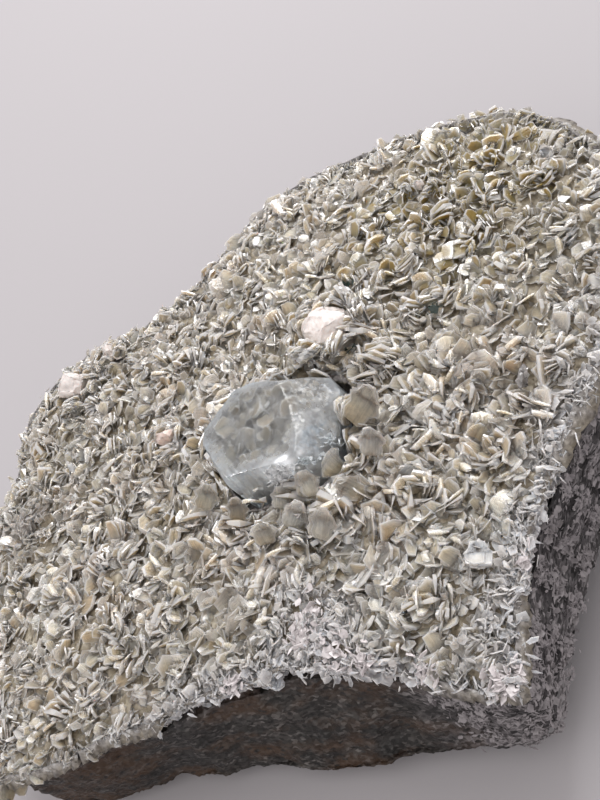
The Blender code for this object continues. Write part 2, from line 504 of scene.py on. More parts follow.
@dataclass(frozen=True)
class MicaFinish(Finish):
    """Muscovite, cleaved and intergrown: beige to silver plates with a pearly glint and painted edge
    highlights.

    It reads each blade's tint, edge, tip, across, stain, crush and depth, and paints shade from tip and
    depth.

    Attributes:
        roughness: roughness of a cleavage face, dulled by its ripples and growth lines.
        ior: muscovite's own, 1.56 to 1.60.
        clear: share of light that passes straight through a plate.
        glow: share of light that passes into the thin plates and out again.
        glow_mm: how far it goes.
        mottle_mm: width of the cloudy patches on a face.
        hue_mm: width of the regions that lean to green, grey or pink.
        ripple_mm: width of the ripples that break up a face's reflection.
        fibres: how many faint streaks lie side by side on half a blade.
        steps: how many growth steps lie between a blade's middle and its rim.
        shade: how light all of it is; below 1 it is painted shade.
    """

    name: str = "muscovite_mica"
    roughness: float = 0.36
    ior: float = 1.58
    clear: float = 0.38
    glow: float = 0.9
    glow_mm: float = 1.6
    mottle_mm: float = 1.1
    hue_mm: float = 9.0
    ripple_mm: float = 0.45
    fibres: float = 7.0
    steps: float = 9.0
    shade: float = 1.0

    def lines(self, tree: bpy.types.NodeTree) -> bpy.types.NodeSocket:
        """Draw each blade's streaks and growth steps.

        Args:
            tree: the material's node tree.

        Returns:
            The socket of the streaks and the steps, added.
        """
        across = marked(tree, "across")
        blade = worked_out(tree, "MULTIPLY", marked(tree, "tint"), 90.0)  # another pattern on each blade
        along = worked_out(tree, "MULTIPLY", marked(tree, "tip"), 1.3)
        beside = worked_out(tree, "MULTIPLY", across, self.fibres)
        ring = worked_out(tree, "MULTIPLY", marked(tree, "edge"), self.steps)
        fibre, steps = (
            add_node(tree, "TexNoise", {
                "Vector": add_node(tree, "CombineXYZ", {0: first, 1: second, 2: blade}).outputs[0],
                "Scale": 1.0, "Detail": detail}).outputs["Fac"]
            for first, second, detail in ((along, beside, 3.0), (ring, across, 1.0)))
        return worked_out(tree, "ADD", fibre, steps)

    def looks(self, tree: bpy.types.NodeTree) -> dict[str, Any]:
        """Add the mica's patterns to a node tree.

        Args:
            tree: the material's node tree.

        Returns:
            What the surface shader's inputs get, by name.
        """
        place = placed(tree)
        mottle = cloudy(tree, place, self.mottle_mm, 5.0, 0.65)
        lines = self.lines(tree)
        body = ramped(tree, marked(tree, "tint"), (0.0, "#a6987f"), (0.25, "#c2b59d"), (0.5, "#d6cbb8"),
                      (0.75, "#e3dbce"), (1.0, "#f1ede6"))
        warmth = ramped(tree, cloudy(tree, place, self.hue_mm, 2.0, 0.5),
                        (0.34, "#f7f2e4"), (0.5, "#fdf6ea"), (0.66, "#fff2e7"))
        toned = add_node(tree, "VectorMath", {0: body, 1: warmth}, operation="MULTIPLY").outputs[0]
        clouded = banded(tree, mottle, 0.3, 0.7, 0.72, 1.15)
        lined = worked_out(tree, "MULTIPLY", clouded, banded(tree, lines, 0.75, 1.25, 0.72, 1.2))
        # Painted shade: each blade is darker at its root, low in the carpet, and lighter at its tip.
        root_shade = banded(tree, marked(tree, "tip"), 0.0, 0.8, 0.84 * self.shade, 1.08 * self.shade)
        mottled = scaled(tree, toned, worked_out(tree, "MULTIPLY", lined, root_shade))
        crush = marked(tree, "crush")
        stained = mixed(tree, marked(tree, "stain"), mottled, "#a08947")
        pale = mixed(tree, crush, stained, "#fbf9fb")
        # Painted highlight: the blades' outlines are paler, as if their edges caught the light.
        edge_highlight = mixed(tree, worked_out(tree, "POWER", marked(tree, "edge"), 5.0), pale, "#f4eee8")
        whole = worked_out(tree, "SUBTRACT", 1.0, crush, clamp=True)
        # Painted shade: the blades darken towards the carpet's depths, except where they are crushed white.
        sunk = worked_out(tree, "MULTIPLY", marked(tree, "depth"), whole)
        rippled = bumped(tree, cloudy(tree, place, self.ripple_mm, 3.0, 0.5), 0.8, 0.12)
        return {"Base Color": mixed(tree, sunk, edge_highlight, "#a09279"),
                "Roughness": banded(tree, mottle, 0.35, 0.65, self.roughness - 0.06, self.roughness + 0.16),
                "Normal": bumped(tree, lines, 0.7, 0.15, Normal=rippled), "IOR": self.ior,
                "Transmission Weight": worked_out(tree, "MULTIPLY", whole, self.clear),
                "Subsurface Weight": self.glow, "Subsurface Radius": (1.0, 0.88, 0.75),
                "Subsurface Scale": self.glow_mm * MM}


@dataclass(frozen=True)
class FeltFinish(Finish):
    """Felted fine mica deep in the carpet: dull beige, partly painted shade; ashen at the side, with a fine
    glitter.

    It reads the side mark.
    """

    name: str = "felted_mica"

    def looks(self, tree: bpy.types.NodeTree) -> dict[str, Any]:
        """Add the felt's patterns to a node tree.

        Args:
            tree: the material's node tree.

        Returns:
            What the surface shader's inputs get, by name.
        """
        place = placed(tree)
        # Painted shade, in part: the felt's beige is darker than the blades', for the shade in the carpet's
        # depths.
        body = ramped(tree, cloudy(tree, place, 1.6, 6.0),
                      (0.3, "#756b5b"), (0.5, "#9a917f"), (0.7, "#b8b0a0"))
        broken = banded(tree, cloudy(tree, place, 0.8, 5.0), 0.3, 0.7)
        ashen = mixed(tree, broken, "#4b4846", "#a9a5a4")
        return {"Base Color": mixed(tree, marked(tree, "side"), body, ashen),
                "Normal": glittering(tree, place, 0.45, 1.1), "Roughness": 0.35}


@dataclass(frozen=True)
class GraniteFinish(Finish):
    """Fine-grained granite: grey-brown grains, black biotite and rust, and ash grey where it is crushed.

    It reads the crushed mark.

    Attributes:
        grain_mm: width of its grains.
        speck_mm: distance between biotite specks.
        rust_mm: width of the rusty patches.
        bedding: how many times wider than high its streaks are.
    """

    name: str = "broken_granite"
    grain_mm: float = 0.75
    speck_mm: float = 2.1
    rust_mm: float = 11.0
    bedding: float = 2.2

    def looks(self, tree: bpy.types.NodeTree) -> dict[str, Any]:
        """Add the granite's patterns to a node tree.

        Args:
            tree: the material's node tree.

        Returns:
            What the surface shader's inputs get, by name.
        """
        place = placed(tree)
        layered = add_node(tree, "Mapping", {"Vector": place, "Scale": (1.0, 1.0, self.bedding)}).outputs[0]
        grains, specks = (add_node(tree, "TexVoronoi", {"Vector": layered, "Scale": 1.0 / (width * MM)})
                          for width in (self.grain_mm, self.speck_mm))
        pick = add_node(tree, "SeparateColor", {"Color": grains.outputs["Color"]}).outputs[0]
        # The granite's colours are darkened, partly as painted shade of the slab's shadowed sides.
        shade = banded(tree, cloudy(tree, layered, 6.0, 4.0), 0.35, 0.65, 0.26, 0.75)
        body = ramped(tree, pick, (0.0, "#1c1815"), (0.3, "#2c2724"), (0.62, "#3b3633"),
                      (0.85, "#514c49"), (1.0, "#7c7774"))
        ash = ramped(tree, pick, (0.0, "#3a3738"), (0.35, "#5f5b5c"), (0.7, "#8b8688"), (1.0, "#bdb8ba"))
        rust = banded(tree, cloudy(tree, layered, self.rust_mm, 5.0), 0.46, 0.62, 0.0, 0.8)
        rusty = mixed(tree, rust, scaled(tree, body, shade), "#3f2a17")
        crushed = mixed(tree, marked(tree, "crushed"), rusty, scaled(tree, ash, shade))
        black = banded(tree, specks.outputs["Distance"], 0.2, 0.3, 0.85, 0.0)
        return {"Base Color": mixed(tree, black, crushed, "#0f0d0c"),
                "Normal": bumped(tree, pick, 0.6, 0.25, Normal=glittering(tree, place, 0.6, 0.8)),
                "Roughness": banded(tree, pick, 0.0, 1.0, 0.75, 0.38)}


@dataclass(frozen=True)
class FeldsparFinish(Finish):
    """Milky feldspar, grown blocky: warm white that glows softly, with a faint glint of cleavage.

    Attributes:
        pale: its main colour.
        tinge: the colour of its cloudy patches.
    """

    name: str = "milky_feldspar"
    pale: str = "#ddd6d3"
    tinge: str = "#dad2ce"

    def looks(self, tree: bpy.types.NodeTree) -> dict[str, Any]:
        """Add the feldspar's patterns to a node tree.

        Args:
            tree: the material's node tree.

        Returns:
            What the surface shader's inputs get, by name.
        """
        place = placed(tree)
        clouds = banded(tree, cloudy(tree, place, 2.2, 5.0), 0.38, 0.66)
        cleaved = glittering(tree, place, 0.9, 0.35)
        return {"Base Color": mixed(tree, clouds, self.pale, self.tinge),
                "Normal": bumped(tree, cloudy(tree, place, 0.5, 4.0), 0.7, 0.2, Normal=cleaved),
                "Roughness": 0.38, "IOR": 1.53, "Subsurface Weight": 0.7,
                "Subsurface Radius": (1.0, 0.85, 0.8), "Subsurface Scale": 0.8 * MM}


@dataclass(frozen=True)
class QuartzFinish(Finish):
    """Grey quartz, broken like glass: half clear, smoky and wet-looking."""

    name: str = "grey_quartz"

    def looks(self, tree: bpy.types.NodeTree) -> dict[str, Any]:
        """Add the quartz's patterns to a node tree.

        Args:
            tree: the material's node tree.

        Returns:
            What the surface shader's inputs get, by name.
        """
        place = placed(tree)
        smoke = banded(tree, cloudy(tree, place, 1.8), 0.35, 0.65)
        return {"Base Color": mixed(tree, smoke, "#8f8c8a", "#d4d1d0"),
                "Normal": glittering(tree, place, 1.1, 0.5),
                "Roughness": 0.15, "IOR": 1.544, "Transmission Weight": 0.5}


@dataclass(frozen=True)
class BerylFinish(Finish):
    """Aquamarine as it grew: clear with a breath of blue, etched dull on its rims and crushed parts.

    It reads the frost and snow marks.

    Attributes:
        ior: beryl's own, 1.57 to 1.58.
        tint: the colour that light takes on inside.
        density: how fast it takes it on, per metre.
    """

    name: str = "aquamarine_beryl"
    ior: float = 1.577
    tint: str = "#c2dfea"
    density: float = 28.0

    def looks(self, tree: bpy.types.NodeTree) -> dict[str, Any]:
        """Add the beryl's patterns and its inner tint to a node tree.

        Args:
            tree: the material's node tree.

        Returns:
            What the surface shader's inputs get, by name.
        """
        place, snow = placed(tree), marked(tree, "snow")
        fine = banded(tree, cloudy(tree, place, 0.7, 5.0), 0.3, 0.7, 0.5, 1.3)
        etched = worked_out(tree, "MULTIPLY", marked(tree, "frost"), fine, clamp=True)
        hazy = mixed(tree, etched, "#ededee", "#a9b4be")
        clear = worked_out(tree, "MULTIPLY_ADD", etched, -0.62, 1.0)
        normal = add_node(tree, "NewGeometry").outputs["Normal"]
        grains = glittering(tree, place, 0.5, 0.55)
        chosen = add_node(tree, "Mix", {0: etched, 4: normal, 5: grains}, data_type="VECTOR").outputs[1]
        inside = add_node(tree, "VolumeAbsorption", {"Color": self.tint, "Density": self.density})
        tree.links.new(inside.outputs[0], tree.nodes["Material Output"].inputs["Volume"])
        return {"Base Color": mixed(tree, snow, hazy, "#f2f5f8"),
                "Transmission Weight": worked_out(tree, "MULTIPLY_ADD", snow, -0.8, clear, clamp=True),
                "Roughness": banded(tree, etched, 0.0, 1.0, 0.17, 0.5),
                "Normal": bumped(tree, cloudy(tree, place, 0.9, 3.0), 0.5, 0.12, Normal=chosen),
                "IOR": self.ior}


@dataclass(frozen=True)
class GlassyFlakeFinish(Finish):
    """Thin flakes and chips: fracture films in the crystal, or grains of another mineral.

    Attributes:
        colour: their colour.
        clear: share of light that passes through.
        roughness: roughness of their faces.
    """

    colour: str
    clear: float
    roughness: float

    def looks(self, tree: bpy.types.NodeTree) -> dict[str, Any]:
        """Add the flakes' pattern to a node tree.

        Args:
            tree: the material's node tree.

        Returns:
            What the surface shader's inputs get, by name.
        """
        shade = banded(tree, cloudy(tree, placed(tree), 0.8), 0.3, 0.7, 0.7, 1.15)
        return {"Base Color": scaled(tree, linear(self.colour)[:3], shade), "Roughness": self.roughness,
                "Transmission Weight": self.clear, "IOR": 1.5}


@dataclass(frozen=True)
class PlainFinish(Finish):
    """One plain matt colour, without a pattern.

    Attributes:
        colour: the colour.
        roughness: the surface's roughness.
    """

    colour: str
    roughness: float

    def looks(self, tree: bpy.types.NodeTree) -> dict[str, Any]:
        """The shader's inputs by name; the node tree stays as it is."""
        return {"Base Color": self.colour, "Roughness": self.roughness}


# ------------------------------------------------------------------------------------------- the carpet


@dataclass
class Archetype:
    """One modelled blade, read into arrays so that it can be copied many times.

    Attributes:
        points: corner positions, one blade radius being 1; +X is the way the blade grew.
        corners: the corner numbers of all faces, one after another.
        sizes: how many corners each face has.
        edge: 1 for each face of the blade's edge and 0 for each flat face.
        rim: for each corner, how near it is to the blade's outline, from 0 to 1.
    """

    points: np.ndarray
    corners: np.ndarray
    sizes: np.ndarray
    edge: np.ndarray
    rim: np.ndarray


@dataclass
class BladeShop:
    """Models the few blade shapes that the whole carpet is copied from.

    Attributes:
        thin: thickness of a thin plate, over its radius.
        wear: how far the corners of an outline stray.
    """

    thin: float = 0.034
    wear: float = 0.3

    def models(self) -> dict[BladeKind, list[Archetype]]:
        """Model every blade shape.

        Returns:
            The blade shapes of each kind.
        """
        plates = ((7, 0.85, 10, 5), (8, 0.62, 8, -8), (6, 0.72, -14, 0), (7, 0.5, 18, 6),
                  (8, 0.9, -8, 9), (7, 0.75, 0, 14), (6, 0.55, -12, -8), (8, 0.95, 6, -10))
        cupped = ((10, 0.9, 20, 8), (9, 0.75, -16, 10), (11, 0.95, 8, -18), (9, 0.6, 24, 0))
        return {
            BladeKind.PLATE: [self.plate(*plate, seed) for seed, plate in enumerate(plates)],
            BladeKind.CUPPED: [self.petal(*petal, seed + 20) for seed, petal in enumerate(cupped)],
            BladeKind.SHARD: [self.shard(sides, width, seed) for sides, width, seed in
                              ((5, 0.8, 41), (4, 0.3, 42), (6, 0.22, 43), (5, 0.45, 44))],
            BladeKind.DISC: [self.petal(16, 0.94, 7, 5, 51)],
        }

    def disc(self, sides: int, thickness: float, squash: float, seed: int) -> bpy.types.Object:
        """Model a many-sided disc with an uneven outline and a narrower root.

        Args:
            sides: sides of the outline.
            thickness: thickness over radius.
            squash: width over length.
            seed: seed of the outline's unevenness.

        Returns:
            The disc, lying flat round the origin.
        """
        deselect_all()
        bpy.ops.mesh.primitive_cylinder_add(vertices=sides, radius=1.0, depth=thickness,
                                            end_fill_type="TRIFAN")
        piece = bpy.context.active_object
        reach = 1.0 + np.random.default_rng(seed).uniform(-self.wear, self.wear * 0.5, sides)
        for vert in piece.data.vertices:
            if vert.co.xy.length < 0.5:
                continue
            step = round(math.atan2(vert.co.y, vert.co.x) / (2 * math.pi) * sides) % sides
            vert.co.y *= reach[step] * squash * (1.0 + 0.22 * vert.co.x)
            vert.co.x *= reach[step]
        return piece

    def plate(self, sides: int, squash: float, bend: float, roll: float, seed: int) -> Archetype:
        """Model a thin plate, bent along and across the way it grew."""
        return self.read(self.bent(self.disc(sides, self.thin, squash, seed), bend, roll))

    def petal(self, sides: int, squash: float, bend: float, roll: float, seed: int) -> Archetype:
        """Model a larger plate with a stepped rim, curled like a petal."""
        piece = self.disc(sides, self.thin, squash, seed)
        select_faces(piece, lambda face: abs(face.normal.z) > 0.5)
        bpy.ops.mesh.inset(thickness=0.3, depth=0.012)
        bpy.ops.object.mode_set(mode="OBJECT")
        return self.read(self.bent(piece, bend, roll))

    @staticmethod
    def bent(piece: bpy.types.Object, bend: float, roll: float) -> bpy.types.Object:
        """Bend a plate along its length and across it.

        Args:
            piece: the plate.
            bend: bend along its length in degrees.
            roll: bend across it in degrees.

        Returns:
            The same plate.
        """
        for axis, angle in (("Y", bend), ("X", roll)):
            if angle:
                apply_modifier(piece, "SIMPLE_DEFORM", deform_method="BEND", deform_axis=axis,
                               angle=math.radians(angle))
        return piece

    def shard(self, sides: int, width: float, seed: int) -> Archetype:
        """Model a small broken flake or sliver."""
        piece = self.disc(sides, 0.12, width, seed)
        select_faces(piece, lambda face: True)
        bpy.ops.transform.vertex_random(offset=0.12, seed=seed)
        bpy.ops.object.mode_set(mode="OBJECT")
        return self.read(piece)

    @staticmethod
    def read(piece: bpy.types.Object) -> Archetype:
        """Read a modelled blade into arrays, and remove it.

        Args:
            piece: the modelled blade.

        Returns:
            The blade's arrays.
        """
        mesh = piece.data
        points = np.empty(len(mesh.vertices) * 3)
        mesh.vertices.foreach_get("co", points)
        corners = np.empty(len(mesh.loops), dtype=np.int64)
        mesh.loops.foreach_get("vertex_index", corners)
        sizes = np.array([len(face.vertices) for face in mesh.polygons], dtype=np.int64)
        fans = np.bincount(corners, minlength=len(mesh.vertices))
        sides = sizes == 4
        starts = np.cumsum(sizes) - sizes
        outline = np.zeros(len(mesh.vertices))
        long_edge = np.zeros(len(sizes))
        for number, start in enumerate(starts):
            if not sides[number]:
                continue
            ring = points.reshape(-1, 3)[corners[start:start + 4]]
            lengths = np.linalg.norm(np.roll(ring, -1, axis=0) - ring, axis=1)
            if lengths.min() < 0.25 * lengths.max() and lengths.min() < 0.2:
                long_edge[number] = 1.0
                outline[corners[start:start + 4]] = 1.0
        outline[fans > 6] = 0.0
        bpy.data.objects.remove(piece, do_unlink=True)
        bpy.data.meshes.remove(mesh)
        return Archetype(points.reshape(-1, 3), corners, sizes, long_edge, outline)


class Ground:
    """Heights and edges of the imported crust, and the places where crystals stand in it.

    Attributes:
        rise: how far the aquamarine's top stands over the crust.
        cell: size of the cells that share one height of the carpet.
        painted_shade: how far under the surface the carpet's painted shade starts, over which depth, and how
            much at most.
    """

    rise: float = 5.7 * MM
    cell: float = 2 * MM
    painted_shade: tuple[float, float, float] = (0.9 * MM, 3.2 * MM, 0.7)

    def __init__(self) -> None:
        """Read the crust's surface and the crystals' footprints from the frame."""
        self.crust = self.tree("mica_crust")
        self.low, self.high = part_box("mica_crust")
        self.footprints = {node: self.outline(node) for node in
                           ["aquamarine_crystal"] + [lump.value for lump in Lump]}
        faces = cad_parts["aquamarine_crystal"].data.polygons
        self.reach = np.array([self.find_reach(math.radians(step)) for step in range(360)])
        self.hull_normals = np.array([face.normal for face in faces])
        self.hull_reach = np.array([face.normal.dot(face.center) for face in faces])

    @staticmethod
    def tree(node: str) -> BVHTree:
        """Make a search tree of a CAD node's faces."""
        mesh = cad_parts[node].data
        return BVHTree.FromPolygons([v.co.copy() for v in mesh.vertices],
                                    [tuple(face.vertices) for face in mesh.polygons])

    @staticmethod
    def outline(node: str) -> tuple[np.ndarray, np.ndarray]:
        """Find the half-planes that bound a crystal's footprint.

        Args:
            node: the crystal's CAD node.

        Returns:
            The half-planes' outward normals and their distances from the origin.
        """
        points = np.array([v.co[:2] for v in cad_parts[node].data.vertices])
        angles = np.linspace(0.0, 2 * math.pi, 48, endpoint=False)
        normals = np.stack([np.cos(angles), np.sin(angles)], axis=1)
        return normals, (points @ normals.T).max(axis=0)

    def inside(self, node: str, points: np.ndarray, margin: float) -> np.ndarray:
        """Say which points are over a crystal's footprint.

        Args:
            node: the crystal's CAD node.
            points: x and y of each point.
            margin: how far outside the footprint still counts.

        Returns:
            One true or false for each point.
        """
        normals, reach = self.footprints[node]
        return (points[:, :2] @ normals.T <= reach + margin).all(axis=1)

    def in_crystal(self, points: np.ndarray, margin: float) -> np.ndarray:
        """Say which points lie in the aquamarine, whose faces all bulge outwards.

        Args:
            points: the points.
            margin: how far outside its faces still counts; less than 0 for well inside them.

        Returns:
            One true or false for each point.
        """
        return (points @ self.hull_normals.T <= self.hull_reach + margin).all(axis=1)

    def top(self, x: float, y: float) -> tuple[Vector, Vector] | None:
        """Find the crust's surface over a point.

        Returns:
            The surface point and its normal, or None outside the crust.
        """
        hit, normal, _, _ = self.crust.ray_cast(Vector((x, y, 0.1)), Vector((0.0, 0.0, -1.0)))
        if hit is None:
            return None
        return hit, normal

    def open_top(self, x: float, y: float) -> tuple[Vector, Vector] | None:
        """Find the crust's surface over a point, where no crystal stands.

        Returns:
            The surface point and its normal, or None outside the crust and at a crystal.
        """
        here = np.array([[x, y]])
        if any(self.inside(node, here, 0.0)[0] for node in self.footprints):
            return None
        found = self.top(x, y)
        return found if found is not None and found[1].z > 0.4 else None

    def find_reach(self, angle: float) -> float:
        """Find how far the crust reaches from the middle at an angle."""
        for reach in np.arange(80.0, 30.0, -0.5):
            if self.top(math.cos(angle) * reach * MM, math.sin(angle) * reach * MM) is not None:
                return float(reach) * MM
        return 30.0 * MM

    def ring(self, node: str) -> tuple[Vector, list[float]]:
        """Find a crystal's middle and how far its footprint reaches at every degree round it."""
        low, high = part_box(node)
        middle = (low + high) / 2
        normals, reach = self.footprints[node]
        angles = np.radians(np.arange(360))
        ways = np.stack([np.cos(angles), np.sin(angles)], axis=1)
        slack = reach - normals @ np.array(middle.xy)
        facing = ways @ normals.T
        return middle, list(np.where(facing > 0.05, slack / np.maximum(facing, 0.05), 1.0).min(axis=1))

    def from_rim(self, point: Vector) -> float:
        """How far a point lies inside the crust's rim."""
        return self.reach[round(math.degrees(math.atan2(point.y, point.x))) % 360] - point.xy.length

    def rim(self, angle: float) -> tuple[Vector, Vector] | None:
        """Find the crust's side at an angle.

        Args:
            angle: the angle round the slab.

        Returns:
            The lowest and the highest point of the side there, or None where it has none.
        """
        out = heading(angle)
        found = self.top(*(out * (self.reach[round(math.degrees(angle)) % 360] - 0.3 * MM)).xy)
        if found is None:
            return None
        high = found[0]
        low, _, _, _ = self.crust.ray_cast(high - out * 0.5 * MM - Vector((0.0, 0.0, 30 * MM)), UP)
        return (low, high) if low is not None else None

    def depth(self, points: np.ndarray) -> np.ndarray:
        """How deep each point lies in the carpet, for its painted shade: 0 at the tips, towards 1 at the
        roots.
        """
        start, over, most = self.painted_shade
        cells = np.round(points[:, :2] / self.cell).astype(int)
        spots, inverse = np.unique(cells, axis=0, return_inverse=True)
        tops = np.array([self.even_top(x * self.cell, y * self.cell) for x, y in spots])
        return np.clip((tops[inverse.ravel()] - start - points[:, 2]) / over, 0.0, most)

    def even_top(self, x: float, y: float) -> float:
        """Height of the crust's surface over a point, or at the rim's height outside it."""
        found = self.top(x, y)
        return found[0].z if found is not None else self.low.z + 3 * MM


@dataclass
class BladeBatch:
    """Blades of one shape, waiting to be joined.

    Attributes:
        frames: the way each blade grew, the way across it and its face's, as long as the blade is in each.
        centres: their middles.
        masks: their tint, stain and crush.
    """

    frames: list[np.ndarray] = field(default_factory=list)
    centres: list[np.ndarray] = field(default_factory=list)
    masks: list[tuple[float, float, float]] = field(default_factory=list)


@dataclass(frozen=True)
class Patch:
    """A soft round patch on the slab, where the mica differs.

    Attributes:
        x: middle along X in mm.
        y: middle along Y in mm.
        reach: radius in mm at which it has half died out.
        strength: its effect in the middle.
    """

    x: float
    y: float
    reach: float
    strength: float

    def at(self, point: Vector) -> float:
        """The patch's effect at a point."""
        away = math.hypot(point.x / MM - self.x, point.y / MM - self.y) / self.reach
        return self.strength * math.exp(-0.7 * away ** 2)


class Rosettes:
    """The middles of the rosettes that the carpet grew in, each with its own way of turning its blades."""

    def __init__(self, ground: Ground, spacing: float, rng: np.random.Generator) -> None:
        """Spread the middles over the slab.

        Args:
            ground: the surface they lie on.
            spacing: distance between neighbouring middles.
            rng: the random draws.
        """
        low, high = ground.low, ground.high
        columns, rows = int((high.x - low.x) / spacing) + 2, int((high.y - low.y) / spacing) + 2
        grid = np.stack(np.meshgrid(np.arange(columns), np.arange(rows)), axis=-1).reshape(-1, 2)
        self.middles = (grid + rng.uniform(-0.42, 0.42, grid.shape)) * spacing + np.array(low.xy)
        self.rolls = np.where(rng.random(len(grid)) < 0.6, rng.normal(0.0, 0.4, len(grid)),
                              rng.uniform(-1.5, 1.5, len(grid)))
        self.lifts = rng.uniform(-0.5, 0.5, len(grid)) * MM
        self.spacing = spacing

    def at(self, point: Vector) -> tuple[Vector, float, float, float]:
        """Find the rosette that a point belongs to.

        Args:
            point: a point of the crust's surface.

        Returns:
            The way out from the rosette's middle, how far out the point is from 0 to about 1, the roll of the
            rosette's blades and how far the rosette stands up.
        """
        away = np.array(point.xy) - self.middles
        apart = np.hypot(away[:, 0], away[:, 1])
        nearest = int(apart.argmin())
        out = Vector((away[nearest, 0], away[nearest, 1], 0.0))
        share = float(apart[nearest]) / (0.6 * self.spacing)
        return out, share, float(self.rolls[nearest]), float(self.lifts[nearest])


@dataclass(frozen=True)
class Book:
    """One large book of mica that stands on its own, its face turned to the front.

    Attributes:
        x: middle along X in mm.
        y: middle along Y in mm.
        z: middle's height in mm.
        radius: half its length in mm.
        turn: how far it is turned in its own face, in degrees.
        lean: how far it leans back from facing the front, in degrees.
        tint: its tint, from 0, dark, to 1, silver.
        leaves: how many leaves it has.
    """

    x: float
    y: float
    z: float
    radius: float
    turn: float
    lean: float
    tint: float
    leaves: int


# The darkest of these tints are partly painted shade, given to books that lie in shadow.
BOOKS = (
    Book(0.9, -15.6, 27.2, 2.0, 10, -6, 0.8, 5), Book(-2.9, -13.2, 26.4, 1.7, -8, 4, 0.45, 4),
    Book(-8.9, -6.9, 25.8, 1.9, 15, 8, 0.25, 4), Book(-11.2, -0.2, 26.2, 2.0, -5, 0, 0.5, 4),
    Book(13.8, -13.0, 26.6, 2.9, -35, 14, 0.5, 8), Book(11.0, -18.9, 26.2, 2.0, 10, 16, 0.8, 5),
    Book(4.4, -21.0, 26.0, 2.2, 50, -14, 0.4, 6), Book(-1.9, -21.4, 26.0, 2.1, -12, 4, 0.6, 5),
    Book(-8.4, -14.2, 25.8, 2.0, 0, 32, 0.8, 5), Book(-3.6, -17.0, 26.2, 2.1, -25, 22, 1.0, 5),
)


@dataclass(frozen=True)
class Collar:
    """A ring of blades that stands close round a crystal and hides its foot.

    Attributes:
        node: the crystal's CAD node.
        behind: lowest and highest tip over the crust, at the crystal's far side, in mm.
        before: the same at its near side.
        count: how many fans stand round it.
        radius: smallest and largest blade radius in mm.
    """

    node: str
    behind: tuple[float, float]
    before: tuple[float, float]
    count: int
    radius: tuple[float, float]


